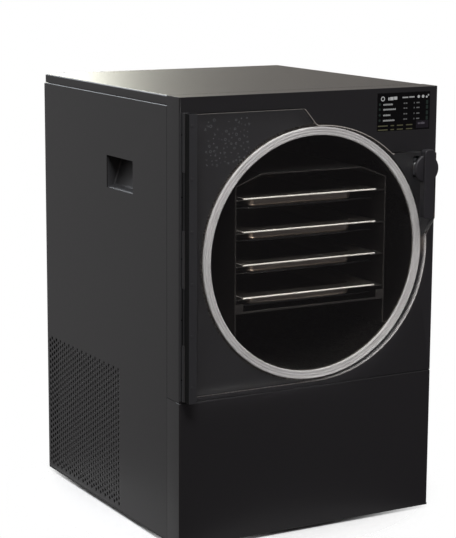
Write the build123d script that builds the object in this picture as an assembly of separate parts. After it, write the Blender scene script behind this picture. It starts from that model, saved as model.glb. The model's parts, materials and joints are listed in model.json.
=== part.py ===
from build123d import *
import math
import os

# Freeze dryer for the bench: a sheet steel cabinet with a round vacuum chamber behind a clear
# hinged door, four trays on heated shelves, and the refrigeration set under the chamber.
# Millimetres. +X is to the right of someone facing the door, +Y into the cabinet, +Z up.
# The origin is on the floor, in the middle of the overall width and of the overall depth from the
# latch lever to the drain spigot.

# Cabinet, sized by what it holds
side_room = 21.8        # chamber's foam to the side sheet
top_room = 40.5         # chamber's foam to the top
rear_room = 61.6        # chamber's foam to the rear panel
deck_room = 23.5        # deck to the chamber's foam
seam_drop = 14.0        # front seam below the door seal
skin = 1.2              # sheet steel of the casing
past = 1.0              # how far each cut runs past what it cuts
hole_gap = 1.0          # round what passes a plain hole
seam = 0.6              # gap between neighbouring panels
return_d = 40.0         # how far the front panels wrap round the sides and the top
skirt_h = 14.0          # depth of the top cover's skirt
flange_w = 12.0         # turned-in edges of the panels
bend_r = 2.5            # outside bend radius
pan_t = 3.0             # base plate, which shows as a rim under the panels
pan_lip = 18.0
lip_t = 1.5
foot_h = 6.0
foot_r = 15.0
foot_inset = 42.0

# Side vents: rows of slots that rise towards the front
vent_before = 6.0       # front edge of the field, ahead of the condenser
vent_past = 30.0        # longer than the condenser
vent_z = 12.0           # lower edge of the field, above the underside
vent_high = 222.0
vent_pitch = 9.6        # row to row
vent_slot = 5.0
vent_bridge = 6.0
vent_columns = 4
vent_rise = 30.0        # degrees
filter_t = 4.0
filter_before = 10.0    # ahead of the condenser

# Hand grips in both sides
grip_y = 153.0          # front edge, behind the cabinet's front face
grip_up = 84.5          # lower edge, above the chamber axis
grip_w = 92.0
grip_h = 51.5
grip_deep = 30.0        # at the top
grip_shallow = 15.0     # at the bottom
cup_wall = 2.0

# Vacuum chamber
chamber_r = 181.0
chamber_wall = 3.0
chamber_len = 400.0
chamber_back_t = 6.0
seal_width = 14.0
seal_lip = 1.0          # step from the chamber's bore to the seal
seal_gap = 0.3          # seal to closed door
seal_groove = 0.6
mouth_gap = 2.0         # fascia opening round the seal
chamber_flange = 23.0
chamber_flange_t = 5.0
coil_r = 4.0
coil_turns = 8
coil_pitch = 42.0
coil_start = 50.0
coil_open = 20.0        # degrees left free each side of the lowest line
coil_bend = 14.0
foam_gap = 1.5
foam_t = 12.0
foam_back = 15.0

# Tray rack and trays
rack_side_room = 46.5   # rack's side to the chamber's widest place
rack_top_half = 89.5
rack_top = 127.0        # above the chamber axis
rack_shoulder = 110.0
rack_low = 124.0        # below the chamber axis
rack_sheet = 2.0
rack_front = 8.0        # behind the cabinet's front face
rack_rear = 29.2        # rack to the chamber's rear wall
rack_bar = 3.0
rack_tab_w = 13.0
rack_tab_h = 12.0
tray_count = 4
tray_first = 91.0       # top of the uppermost tray's rim above the chamber axis
tray_pitch = 50.4
tray_side_gap = 12.5
tray_rear = 12.0
tray_front = 10.0
tray_rim_t = 2.2
tray_sheet = 1.2
pan_inset = 25.0
pan_front_inset = 29.0
pan_deep = 19.0
pan_corner = 8.0
pan_foot_r = 3.0
ledge_w = 22.0
ledge_t = 1.5
shelf_t = 2.0
shelf_set_back = 37.0   # from the rack's front edge
mat_t = 1.5
mat_w = 180.0
mat_len = 270.0

# Door
door_t = 19.0
door_gap = 3.0          # door to fascia
rim_gap = 1.4           # door's round edge outside the seal
door_over = 25.6        # top edge above the round rim
step_x = -27.5          # end of the top edge
step_run = 21.9
tab_top = 147.0
tab_in = 14.5           # latch tab inside the cabinet's side
tab_low = 41.0
tab_slope = 1.6
door_round = 10.0

# Hinge
leaf_edge = 3.3         # door leaf inside the cabinet's side
leaf_w = 13.2
leaf_t = 2.0
hinge_in = 5.5          # axis inside the cabinet's side
hinge_out = 6.5         # axis in front of the fascia
knuckle_r = 3.5
knuckle_clear = 1.0
knuckles = 5
knuckle_gap = 0.4
pin_r = 1.6
fit = 0.05              # radial running clearance
fixed_leaf_w = 14.0
fixed_leaf_t = 1.5
fixed_leaf_edge = 0.4
fixed_neck = 2.0
hinge_low = 4.0         # hinge's lower end above the front seam
hinge_over = 1.0        # leaf past the door's top edge
hinge_screw_r = 1.3
hinge_screw_in = 3.0
hinge_screw_n = 5
hinge_screw_margin = 32.0
clamp_screw_r = 1.5
clamp_head_r = 2.4
clamp_head_t = 0.8
clamp_screw_in = 8.2
clamp_screw_deep = 8.0
clamp_margin = 16.0
clamp_screw_n = 6

# Latch: the cam passes a slot in the fascia and turns behind its strike plate
latch_in = 28.5         # axis inside the tab's edge
latch_up = 122.0
latch_shaft_r = 5.0
bush_wall = 4.0
bush_flange = 3.0
bush_flange_t = 1.5
hub_r = 22.0
hub_t = 13.5
lever_w = 19.0
lever_up = 30.0
lever_down = 78.0
lever_t = 13.0
lever_off = 5.0         # lever's back above the hub's back
collar_r = 7.5
collar_t = 2.0
cam_half = 13.0
cam_w = 8.0
cam_t = 4.0
cam_gap = 0.4
slot_side = 2.0
slot_end = 4.0
strike_t = 3.0
strike_w = 40.0
strike_h = 52.0
cam_bore_r = 3.0
shaft_end_r = 6.5
shaft_end_t = 3.0

# Display
glass_w = 98.5
glass_h = 58.7
glass_in = 14.5         # inside the cabinet's side
glass_drop = 7.9        # under the cabinet's top
glass_fit = 0.25
glass_rim = 2.5
glass_rim_t = 1.5
lcd_t = 5.0
lcd_inset = 4.0
board_t = 1.6

# Under the chamber
deck_z = 205.0          # deck's underside above the cabinet's underside
deck_t = 3.0
deck_gap = 3.0          # deck's edge to the filter pad
leg_w = 22.0
leg_t = 2.0
leg_inset = 12.0
cheek_t = 3.0
cheek_half = 150.0
cheek_h = 82.0
cheek_front = 90.0
cheek_rear = 318.0
seat_fit = 0.2
can_x = 40.0
can_y = 250.0           # behind the cabinet's front face
can_r = 68.0
can_h = 140.0
can_dome = 26.0
can_foot_w = 160.0
can_foot_d = 116.0
can_foot_t = 3.0
grommet_h = 12.0
grommet_r = 9.0
grommet_inset = 14.0
cond_t = 28.0
cond_len = 236.0
cond_leg_gap = 1.8      # to the rear leg
cond_top_gap = 5.0      # to the deck
cond_gap = 1.0          # to the filter pad
fin_pitch = 12.0
fin_t = 2.0
tube_rows = 4
tube_r = 4.0
shroud_t = 2.0
shroud_margin = 6.0
arm_w = 10.0
arm_t = 4.0
motor_r = 24.0
motor_len = 36.0
motor_off = 26.0        # from the shroud's plate
fan_tip_gap = 6.0
fan_hub_r = 20.0
fan_hub_t = 14.0
fan_blades_n = 5
fan_blade_t = 2.0
fan_blade_w = 34.0
fan_blade_tilt = 28.0
fan_shaft_r = 3.0
fan_shaft_in = 20.0
pipe_bend = 12.0
liquid_before = 42.0    # ahead of the condenser
line_z = 30.0
line_under = 15.0       # below the deck
line_x = -75.0
discharge_before = 17.0
tail_drop = 8.0         # coil tails under the deck
drier_r = 10.0
drier_len = 70.0
drier_x = -130.0
supply_w = 90.0
supply_gap = 20.0       # to the drier
supply_h = 55.0
supply_x = -155.0
supply_y = 40.0
supply_slots = 4
supply_slot_w = 3.0
supply_slot_inset = 20.0
supply_slot_deep = 2.0
ctrl_len = 125.0
ctrl_h = 110.0
ctrl_y = 58.0
ctrl_z = 62.0
standoff = 12.0
standoff_r = 3.0
relay_n = 4
relay_first = 18.0
relay_pitch = 24.0
relay_w = 18.0
relay_t = 16.0
relay_low = 66.0
relay_h = 28.0
terminal_t = 10.0
terminal_low = 8.0
terminal_h = 12.0
chip_w = 30.0
chip_t = 3.0
chip_first = 40.0
chip_low = 30.0

# Rear fittings, places behind the rear panel
port_up = -60.0         # vacuum port's axis from the chamber axis
port_r = 14.0
port_wall = 1.5
port_out = 24.0
port_flange_r = 20.0
port_flange_t = 4.0
plug_x = 90.0
plug_up = 50.0
plug_r = 15.0
plug_flange_r = 22.0
plug_flange_t = 6.0
plug_pins = 6
inlet_x = 150.0
inlet_z = 70.0
inlet_w = 28.0
inlet_h = 20.0
inlet_wall = 2.0
inlet_deep = 22.0
inlet_flange = 10.0
inlet_flange_t = 2.0
inlet_brow = 2.0
outlet_x = 90.0
outlet_room = 2.5
outlet_set = 1.0
blade_len = 9.0
blade_half_w = 1.0
blade_half_h = 2.0
blade_side = 7.0
blade_rise = 2.0
rocker_x = 195.0
rocker_w = 13.0
rocker_h = 19.0
rocker_t = 9.0
rocker_clear = 0.6
rocker_tilt = 8.0
rocker_pin_r = 1.2
rocker_set = 2.0        # pivot behind the rear panel's face
rocker_brow = 1.0
rocker_dish = 2.0
switch_wall = 2.0
switch_deep = 14.0
switch_rim_t = 1.0
drain_x = -40.0
drain_in = 21.2         # ahead of the chamber's rear wall
drain_z = 150.0
drain_r = 6.0
drain_wall = 1.5
drain_bend = 22.0
valve_r = 11.0
valve_len = 40.0
valve_out = 4.0
spigot_len = 18.0
stem_r = 3.0
stem_h = 10.0
valve_lever = 46.0
valve_lever_w = 11.0
valve_lever_t = 3.0
panel_screw_r = 2.0
panel_head_r = 4.0
panel_head_t = 1.8
panel_screw_len = 6.0
panel_screw_inset = 7.0
rear_slots = 9
rear_slot_w = 150.0
rear_slot_h = 4.0
rear_slot_pitch = 10.0
rear_slot_z = 300.0

# Places that follow from the sizes
drum_r = chamber_r + chamber_wall
foam_in = drum_r + 2 * coil_r + foam_gap
foam_out = foam_in + foam_t
seal_in = chamber_r + seal_lip
seal_out = seal_in + seal_width
axis_up = deck_z + deck_t + deck_room + foam_out
lower_h = axis_up - seal_out - seam_drop
cab_w = 2 * (foam_out + side_room + skin)
cab_d = 2 * skin + chamber_len + chamber_back_t + foam_back + rear_room
cab_h = axis_up + foam_out + top_room
front_reach = door_gap + door_t + bush_flange_t + cam_gap + lever_off + lever_t
rear_reach = valve_out + valve_len + spigot_len
left = -cab_w / 2
right = cab_w / 2
front = (front_reach - cab_d - rear_reach) / 2
back = front + cab_d
base = foot_h
top = foot_h + cab_h
seat = base + pan_t
seam_z = base + lower_h
axis_z = base + axis_up
side_top = top - skirt_h - seam
side_front = front + return_d + seam
mouth_r = seal_out + mouth_gap
flange_r = chamber_r + chamber_flange
flange_y = front + skin
drum_back = flange_y + chamber_len
drum_end = drum_back + chamber_back_t
foam_end = drum_end + foam_back
rack_half = chamber_r - rack_side_room
rack_y = front + rack_front
rack_len = drum_back - rack_rear - rack_y
tray_y = front + tray_front
tray_w = 2 * (rack_half - rack_sheet - tray_side_gap)
tray_len = rack_y + rack_len - tray_rear - tray_y
door_back = front - door_gap
door_face = door_back - door_t
door_r = seal_out + rim_gap
door_up = door_r + door_over
door_top = axis_z + door_up
tab_right = right - tab_in
hinge_x = left + hinge_in
hinge_y = front - hinge_out
hinge_z0 = seam_z + hinge_low
hinge_z1 = door_top + hinge_over
knuckle_len = (hinge_z1 - hinge_z0) / knuckles
leaf_x = left + leaf_edge
rebate_y = hinge_y - knuckle_r - knuckle_clear
rebate_x = hinge_x + knuckle_r + knuckle_clear
latch_x = tab_right - latch_in
latch_z = axis_z + latch_up
strike_y = front + skin
cam_y = strike_y + strike_t + cam_gap
glass_x = right - glass_in - glass_w / 2
glass_z = top - glass_drop - glass_h / 2
grip_front = front + grip_y
grip_low = axis_z + grip_up
deck_low = base + deck_z
deck_top = deck_low + deck_t
can_mid = front + can_y
can_low = seat + grommet_h
filter_x = left + skin
cond_x = filter_x + filter_t + cond_gap
cond_back = back - skin - leg_inset - leg_w - cond_leg_gap
cond_front = cond_back - cond_len
cond_low = seat + pan_lip + 2 * lip_t
cond_h = deck_low - cond_top_gap - cond_low
shroud_x = cond_x + cond_t
shroud_hole_r = cond_h / 2 - shroud_margin
fan_r = shroud_hole_r - fan_tip_gap
fan_y = cond_front + cond_len / 2
fan_z = cond_low + cond_h / 2
vent_front = cond_front - vent_before
vent_len = cond_len + vent_past
tail_low = deck_low - tail_drop
coil_mid_r = drum_r + coil_r
drain_y = drum_back - drain_in


def block(x0, x1, y0, y1, z0, z1):
    return Pos((x0 + x1) / 2, (y0 + y1) / 2, (z0 + z1) / 2) * Box(x1 - x0, y1 - y0, z1 - z0)


def rod_x(radius, x0, x1, y, z):
    return Pos((x0 + x1) / 2, y, z) * Rot(0, 90, 0) * Cylinder(radius, x1 - x0)


def rod_y(radius, y0, y1, x, z):
    return Pos(x, (y0 + y1) / 2, z) * Rot(90, 0, 0) * Cylinder(radius, y1 - y0)


def rod_z(radius, z0, z1, x, y):
    return Pos(x, y, (z0 + z1) / 2) * Cylinder(radius, z1 - z0)


def ring_y(outer, inner, y0, y1, x, z):
    return rod_y(outer, y0, y1, x, z) - rod_y(inner, y0 - past, y1 + past, x, z)


def slab_y(outline, y0, y1):
    """A flat outline read as x and z, with its thickness from y0 to y1."""
    return extrude(Plane.XZ.offset(-y1) * outline, amount=y1 - y0, dir=(0, -1, 0))


def slab_x(outline, x0, x1):
    """A flat outline read as y and z, with its thickness from x0 to x1."""
    return extrude(Plane.YZ.offset(x0) * outline, amount=x1 - x0, dir=(1, 0, 0))


def polygon(points):
    """An outline from its corners, in either order."""
    face = Polygon(*points, align=None)
    return face if face.faces()[0].normal_at().Z > 0 else Polygon(*points[::-1], align=None)


def spread(first, last, count):
    return [first + (last - first) * i / (count - 1) for i in range(count)]


def pipe(points, radius, bend, wall=0.0):
    """A pipe along straight runs joined by tangent arcs."""
    path = FilletPolyline(*points, radius=bend) if len(points) > 2 else Polyline(*points)
    start = Plane(origin=path @ 0, z_dir=path % 0)
    tube = sweep(start * Circle(radius), path=path)
    if wall:
        tube -= sweep(start * Circle(radius - wall), path=path)
    return tube


# ---------------------------------------------------------------- casing

def base_pan():
    plate = block(left, right, front, back, base, seat)
    outer = block(left + skin, right - skin, front + skin, back - skin, seat, seat + pan_lip)
    edge = skin + lip_t
    inner = block(left + edge, right - edge, front + edge, back - edge, seat, seat + pan_lip + past)
    outer = fillet(outer.edges().filter_by(Axis.Z).group_by(Axis.Y)[0], bend_r - skin)
    return plate + (outer - inner)


def feet():
    columns = (left + foot_inset, right - foot_inset)
    rows = (front + foot_inset, back - foot_inset)
    return [rod_z(foot_r, 0, foot_h, x, y) for x in columns for y in rows]


def vent_slots():
    """Slots for the left side, each a strip that rises towards the front."""
    column = (vent_len + vent_bridge) / vent_columns
    length = column - vent_bridge
    rise = length * math.tan(math.radians(vent_rise))
    drop = column * math.tan(math.radians(vent_rise)) % vent_pitch
    slots = []
    for c in range(vent_columns):
        y0 = vent_front + c * column
        first = seat + vent_z - pan_t + (-c * drop) % vent_pitch
        rows = int((vent_high - vent_slot - rise - (first - seat - vent_z + pan_t)) / vent_pitch) + 1
        for r in range(rows):
            z0 = first + r * vent_pitch
            strip = [(y0, z0 + rise), (y0 + length, z0)]
            strip += [(y0 + length, z0 + vent_slot), (y0, z0 + rise + vent_slot)]
            slots.append(slab_x(polygon(strip), left - past, left + skin + past))
    return slots


def left_side_panel():
    inside = left + skin
    above_lip = seat + pan_lip + hole_gap
    tongue = flange_w - 4 * skin
    panel = block(left, inside, side_front, back, seat, side_top)
    panel += block(inside, inside + flange_w, side_front, back - 2 * skin, side_top - skin, side_top)
    panel += block(inside, inside + flange_w, back - 2 * skin, back - skin, above_lip, side_top)
    tongue_top = side_top - skin
    panel += block(inside, inside + skin, side_front - tongue, side_front + tongue, above_lip, tongue_top)
    cut0 = left - past
    cut1 = inside + past
    panel -= block(cut0, cut1, grip_front, grip_front + grip_w, grip_low, grip_low + grip_h)
    for x, z in rear_screw_spots():
        if x < 0:
            panel -= rod_y(panel_screw_r + fit, back - 3 * skin, back, x, z)
    return panel - Compound(vent_slots())


def right_side_panel():
    return mirror(left_side_panel(), about=Plane.YZ)


def top_cover():
    cover = block(left, right, side_front, back, top - skirt_h, top)
    low = top - skirt_h - past
    cover -= block(left + skin, right - skin, side_front - past, back - skin, low, top - skin)
    long_edges = cover.edges().filter_by(Axis.Y).group_by(Axis.Z)[-1]
    return fillet(long_edges, skin)


def rear_panel():
    panel = block(left + skin, right - skin, back - skin, back, seat, side_top)
    cut0 = back - skin - past
    cut1 = back + past
    panel -= rod_y(port_flange_r + hole_gap, cut0, cut1, 0, axis_z + port_up)
    panel -= rod_y(drain_r + 2 * hole_gap, cut0, cut1, drain_x, base + drain_z)
    for x in (inlet_x, outlet_x):
        half_w = inlet_w / 2 + glass_fit
        half_h = inlet_h / 2 + glass_fit
        z = base + inlet_z
        panel -= block(x - half_w, x + half_w, cut0, cut1, z - half_h, z + half_h)
    half_w = rocker_w / 2 + rocker_clear + switch_wall + glass_fit
    half_h = rocker_h / 2 + rocker_clear + switch_wall + glass_fit
    panel -= block(rocker_x - half_w, rocker_x + half_w, cut0, cut1, z - half_h, z + half_h)
    for i in range(rear_slots):
        z0 = base + rear_slot_z + i * rear_slot_pitch
        for x0 in (-rear_slot_w - port_flange_r, port_flange_r):
            panel -= block(x0, x0 + rear_slot_w, cut0, cut1, z0, z0 + rear_slot_h)
    for x, z in rear_screw_spots():
        panel -= rod_y(panel_screw_r + fit, cut0, cut1, x, z)
    return panel


def rear_screw_spots():
    heights = spread(seat + pan_lip + 3 * panel_screw_inset, side_top - 2 * panel_screw_inset, 4)
    side = right - skin - panel_screw_inset
    return [(sx * side, z) for sx in (-1, 1) for z in heights]


def panel_screws():
    screws = []
    for x, z in rear_screw_spots():
        screw = rod_y(panel_head_r, back, back + panel_head_t, x, z)
        screws.append(screw + rod_y(panel_screw_r, back - panel_screw_len, back, x, z))
    return screws


def folded_front(z0, z1, has_top, has_bottom):
    """A front sheet that wraps round both sides, with rounded bends."""
    shell = block(left, right, front, front + return_d, z0, z1)
    shell = fillet(shell.edges().filter_by(Axis.Z).group_by(Axis.Y)[0], bend_r)
    low = z0 + skin if has_bottom else z0 - past
    inner = block(left + skin, right - skin, front + skin, front + return_d + past, low, z1 - skin)
    inner = fillet(inner.edges().filter_by(Axis.Z).group_by(Axis.Y)[0], bend_r - skin)
    behind = front + flange_w
    high = z1 - skin if has_top else z1 + past
    trim = block(left + skin, right - skin, behind, front + return_d + past, z0 - past, high)
    return shell - inner - trim


def front_fascia():
    fascia = folded_front(seam_z + seam / 2, top, True, True)
    cut0 = front - past
    cut1 = front + skin + past
    fascia -= rod_y(mouth_r, cut0, cut1, 0, axis_z)
    half_w = glass_w / 2 + glass_fit
    half_h = glass_h / 2 + glass_fit
    fascia -= block(glass_x - half_w, glass_x + half_w, cut0, cut1, glass_z - half_h, glass_z + half_h)
    fascia -= latch_slot(cut0, cut1)
    for z in hinge_screw_heights():
        fascia -= rod_y(hinge_screw_r + fit, cut0, cut1 + hinge_screw_r, left + hinge_screw_in, z)
    return fascia


def lower_front_panel():
    return folded_front(seat, seam_z - seam / 2, False, False)


def left_grip_cup():
    y0 = grip_front
    z0 = grip_low
    wall = cup_wall
    outside = filter_x
    outer = [(outside, z0 - wall), (outside + grip_shallow + wall, z0 - wall)]
    outer += [(outside + grip_deep + wall, z0 + grip_h + wall), (outside, z0 + grip_h + wall)]
    inner = [(outside - past, z0), (outside + grip_shallow, z0)]
    inner += [(outside + grip_deep, z0 + grip_h), (outside - past, z0 + grip_h)]
    cup = slab_y(polygon(outer), y0 - wall, y0 + grip_w + wall)
    return cup - slab_y(polygon(inner), y0, y0 + grip_w)


def right_grip_cup():
    return mirror(left_grip_cup(), about=Plane.YZ)


def left_filter_pad():
    z0 = seat + pan_lip + hole_gap
    z1 = base + vent_z + vent_high + filter_t
    return block(filter_x, filter_x + filter_t, cond_front - filter_before, cond_back, z0, z1)


# ---------------------------------------------------------------- chamber

def chamber_drum():
    drum = ring_y(drum_r, chamber_r, flange_y, drum_end, 0, axis_z)
    drum += ring_y(flange_r, chamber_r, flange_y, flange_y + chamber_flange_t, 0, axis_z)
    drum += rod_y(drum_r, drum_back, drum_end, 0, axis_z)
    cut0 = drum_back - past
    cut1 = drum_end + past
    drum -= rod_y(port_r + fit, cut0, cut1, 0, axis_z + port_up)
    drum -= rod_y(plug_r + fit, cut0, cut1, plug_x, axis_z + plug_up)
    low = axis_z - drum_r - past
    return drum - rod_z(drain_r + fit, low, axis_z - chamber_r / 2, drain_x, drain_y)


def door_seal():
    proud = door_gap - seal_gap
    seal = ring_y(seal_out, seal_in, front - proud, flange_y, 0, axis_z)
    for share in (1, 2):
        radius = seal_in + share * seal_width / 3
        floor = front - proud + seal_groove
        seal -= ring_y(radius + seal_groove, radius, front - proud - past, floor, 0, axis_z)
    return seal


def foam_holes():
    cut0 = drum_end - past
    cut1 = foam_end + past
    holes = rod_y(port_r + hole_gap, cut0, cut1, 0, axis_z + port_up)
    holes += rod_y(plug_flange_r + hole_gap, cut0, cut1, plug_x, axis_z + plug_up)
    low = axis_z - foam_out - past
    for y in (coil_y(0), coil_y(coil_turns - 1)):
        holes += rod_z(coil_r + 2 * foam_gap, low, axis_z - chamber_r, tail_x(), y)
    return holes + rod_z(drain_r + hole_gap, low, axis_z - chamber_r, drain_x, drain_y)


def drum_insulation():
    foam = ring_y(foam_out, foam_in, flange_y + chamber_flange_t, foam_end, 0, axis_z)
    foam += rod_y(foam_out, drum_end, foam_end, 0, axis_z)
    return foam - foam_holes()


def coil_y(turn):
    return front + coil_start + turn * coil_pitch


def tail_x():
    angle = math.radians(coil_open)
    return (coil_mid_r + coil_bend) * math.sin(angle) - coil_bend


def coil_arc(y, start, sweep_angle):
    """Part of one turn round the drum, from a start angle in the plane of x and z."""
    angle = math.radians(start)
    radial = Vector(math.cos(angle), 0, math.sin(angle))
    spot = Vector(0, y, axis_z) + radial * coil_mid_r
    tangent = Vector(-math.sin(angle), 0, math.cos(angle))
    profile = Plane(origin=spot, x_dir=radial, z_dir=tangent) * Circle(coil_r)
    return revolve(profile, axis=Axis((0, y, axis_z), (0, -1, 0)), revolution_arc=sweep_angle)


def coil_return(y, angle_deg, outward):
    """The bend that joins one turn to the next; outward is 1 where the turn runs on upwards in angle."""
    angle = math.radians(angle_deg)
    radial = Vector(math.cos(angle), 0, math.sin(angle))
    tangent = Vector(-math.sin(angle), 0, math.cos(angle))
    spot = Vector(0, y, axis_z) + radial * coil_mid_r
    middle = spot + Vector(0, coil_pitch / 2, 0)
    profile = Plane(origin=spot, x_dir=radial, z_dir=tangent) * Circle(coil_r)
    return revolve(profile, axis=Axis(middle, radial * -outward), revolution_arc=180)


def coil_tail(y):
    """From the end of a turn down through the foam and the deck."""
    angle = math.radians(coil_open - 90)
    radial = Vector(math.cos(angle), 0, math.sin(angle))
    tangent = Vector(-math.sin(angle), 0, math.cos(angle))
    spot = Vector(0, y, axis_z) + radial * coil_mid_r
    middle = spot + radial * coil_bend
    profile = Plane(origin=spot, x_dir=radial, z_dir=tangent) * Circle(coil_r)
    bend = revolve(profile, axis=Axis(middle, (0, -1, 0)), revolution_arc=90 - coil_open)
    return bend + rod_z(coil_r, tail_low, middle.Z, tail_x(), y)


def evaporator_coil():
    start = coil_open - 90
    turn = 360 - 2 * coil_open
    coil = coil_tail(coil_y(0)) + coil_tail(coil_y(coil_turns - 1))
    for k in range(coil_turns):
        coil += coil_arc(coil_y(k), start, turn)
        if k < coil_turns - 1:
            at_far_end = k % 2 == 0
            coil += coil_return(coil_y(k), start + turn if at_far_end else start, 1 if at_far_end else -1)
    return coil


def leg(x_side, y0):
    x_out = x_side * (right - skin - leg_inset)
    x_in = x_out - x_side * leg_w
    wall = x_out - x_side * leg_t
    post = block(min(x_out, x_in), max(x_out, x_in), y0, y0 + leg_t, seat, deck_low)
    return post + block(min(x_out, wall), max(x_out, wall), y0, y0 + leg_w, seat, deck_low)


def chamber_cradle():
    edge = skin + filter_t + deck_gap
    cradle = block(left + edge, right - edge, front + edge, back - edge, deck_low, deck_top)
    for y in (cheek_front, cheek_rear):
        y0 = front + y
        cheek = block(-cheek_half, cheek_half, y0, y0 + cheek_t, deck_top, deck_top + cheek_h)
        cradle += cheek - rod_y(foam_out + seat_fit, y0 - past, y0 + cheek_t + past, 0, axis_z)
    for x_side in (-1, 1):
        cradle += leg(x_side, front + skin + leg_inset)
        cradle += leg(x_side, back - skin - leg_inset - leg_w)
    cut0 = deck_low - past
    cut1 = deck_top + past
    for y in (coil_y(0), coil_y(coil_turns - 1)):
        cradle -= rod_z(coil_r + hole_gap, cut0, cut1, tail_x(), y)
    return cradle - rod_z(drain_r + hole_gap, cut0, cut1, drain_x, drain_y)


# ---------------------------------------------------------------- rack, shelves and trays

def tray_top(n):
    return axis_z + tray_first - n * tray_pitch


def rack_frame():
    outline = [(-rack_half, -chamber_r), (-rack_half, rack_shoulder), (-rack_top_half, rack_top)]
    outline += [(rack_top_half, rack_top), (rack_half, rack_shoulder), (rack_half, -chamber_r)]
    outer = polygon(outline)
    inner = offset(outer, amount=-rack_sheet, kind=Kind.INTERSECTION)
    y0 = rack_y
    y1 = rack_y + rack_len
    rack = Pos(0, 0, axis_z) * slab_y(outer - inner, y0, y1)
    rack &= rod_y(chamber_r - seat_fit, y0 - past, y1 + past, 0, axis_z)
    rack -= block(-rack_half, rack_half, y0 - past, y1 + past, axis_z - chamber_r, axis_z - rack_low)
    inside = rack_half - rack_sheet
    for n in range(tray_count):
        z1 = tray_top(n) - tray_rim_t
        for x0, x1 in ((-inside, ledge_w - inside), (inside - ledge_w, inside)):
            rack += block(x0, x1, tray_y, y1, z1 - ledge_t, z1)
    low = tray_top(tray_count - 1) - pan_deep - shelf_t
    for y in (y0, y1 - rack_bar):
        rack += block(-inside, inside, y, y + rack_bar, low - rack_bar, low)
        for x0 in (-inside, inside - rack_tab_w):
            rack += block(x0, x0 + rack_tab_w, y, y + tray_front - rack_front, low, low + rack_tab_h)
    return rack


def heater_shelf(n):
    inside = rack_half - rack_sheet
    z1 = tray_top(n) - pan_deep
    y0 = rack_y + shelf_set_back
    y1 = rack_y + rack_len - rack_bar
    last = n == tray_count - 1
    shelf = block(-inside, inside, y0, y1, z1 - shelf_t, z1)
    if last:
        return shelf
    return shelf + block(-mat_w / 2, mat_w / 2, y0 + mat_t, y0 + mat_len, z1 - shelf_t - mat_t, z1 - shelf_t)


def tray(n):
    z1 = tray_top(n)
    half = tray_w / 2
    y1 = tray_y + tray_len
    rim = block(-half, half, tray_y, y1, z1 - tray_rim_t, z1)
    rim = fillet(rim.edges().filter_by(Axis.Z), pan_corner / 2)
    px = half - pan_inset
    p0 = tray_y + pan_front_inset
    p1 = y1 - pan_front_inset
    outer = block(-px, px, p0, p1, z1 - pan_deep, z1 - tray_rim_t / 2)
    outer = fillet(outer.edges().filter_by(Axis.Z), pan_corner)
    outer = fillet(outer.faces().sort_by(Axis.Z)[0].edges(), pan_foot_r)
    s = tray_sheet
    inner = block(s - px, px - s, p0 + s, p1 - s, z1 - pan_deep + s, z1 + past)
    inner = fillet(inner.edges().filter_by(Axis.Z), pan_corner - s)
    inner = fillet(inner.faces().sort_by(Axis.Z)[0].edges(), pan_foot_r - s)
    return rim + outer - inner


# ---------------------------------------------------------------- door, hinge and latch

def door_outline():
    """Read from the chamber axis: a round rim with a hinge side and a latch tab."""
    edge = leaf_x + leaf_t
    hinge_side = [(edge, -door_r), (0, -door_r), (0, door_r - past)]
    corner = step_x + step_run
    hinge_side += [(corner, math.sqrt(door_r ** 2 - corner ** 2)), (step_x, door_up), (edge, door_up)]
    root = chamber_r / 2
    drop = (tab_right - door_r) * tab_slope + tab_slope
    tab = [(root, tab_top), (tab_right, tab_top), (tab_right, tab_low)]
    tab += [(door_r - past, tab_low - drop), (root, tab_low - drop)]
    outline = Circle(door_r) + polygon(hinge_side) + polygon(tab)
    tab_meets = math.sqrt(door_r ** 2 - tab_top ** 2)
    soften = [(corner, door_up - step_run), (tab_meets, tab_top), (door_r, tab_low - drop)]
    for spot in soften:
        nearest = outline.vertices().sort_by_distance(Vector(spot[0], spot[1], 0))[0]
        outline = fillet(nearest, door_round)
    for spot in ((tab_right, tab_top), (tab_right, tab_low), (step_x, door_up)):
        nearest = outline.vertices().sort_by_distance(Vector(spot[0], spot[1], 0))[0]
        outline = fillet(nearest, door_round / 2)
    return outline


def door_panel():
    door = Pos(0, 0, axis_z) * slab_y(door_outline(), door_face, door_back)
    low = axis_z - door_r - past
    door -= block(leaf_x, rebate_x, rebate_y, door_back + past, low, door_top + past)
    bush_r = latch_shaft_r + bush_wall
    door -= rod_y(bush_r + fit, door_face - past, door_back + past, latch_x, latch_z)
    for z in clamp_screw_heights():
        door -= rod_y(clamp_screw_r + fit, door_face - past, door_face + clamp_screw_deep, clamp_x(), z)
    return door


def knuckle_span(k):
    z0 = hinge_z0 + k * knuckle_len + knuckle_gap / 2
    return z0, z0 + knuckle_len - knuckle_gap


def hinge_bore():
    return rod_z(pin_r + fit, hinge_z0 - past, hinge_z1 + past, hinge_x, hinge_y)


def hinge_screw_heights():
    return spread(hinge_z0 + hinge_screw_margin, hinge_z1 - hinge_screw_margin, hinge_screw_n)


def clamp_screw_heights():
    low = axis_z - door_r + clamp_margin
    return spread(low, door_top - clamp_margin, clamp_screw_n)


def clamp_x():
    return left + clamp_screw_in


def hinge_frame_leaf():
    x0 = left + fixed_leaf_edge
    leaf = block(x0, x0 + fixed_leaf_w, front - fixed_leaf_t, front, hinge_z0, hinge_z1)
    for k in range(0, knuckles, 2):
        z0, z1 = knuckle_span(k)
        leaf += block(hinge_x - fixed_neck, hinge_x + fixed_neck, hinge_y, front - fixed_leaf_t, z0, z1)
        leaf += rod_z(knuckle_r, z0, z1, hinge_x, hinge_y)
    for z in hinge_screw_heights():
        y0 = front - fixed_leaf_t - past
        leaf -= rod_y(hinge_screw_r + fit, y0, front + past, left + hinge_screw_in, z)
    return leaf - hinge_bore()


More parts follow.
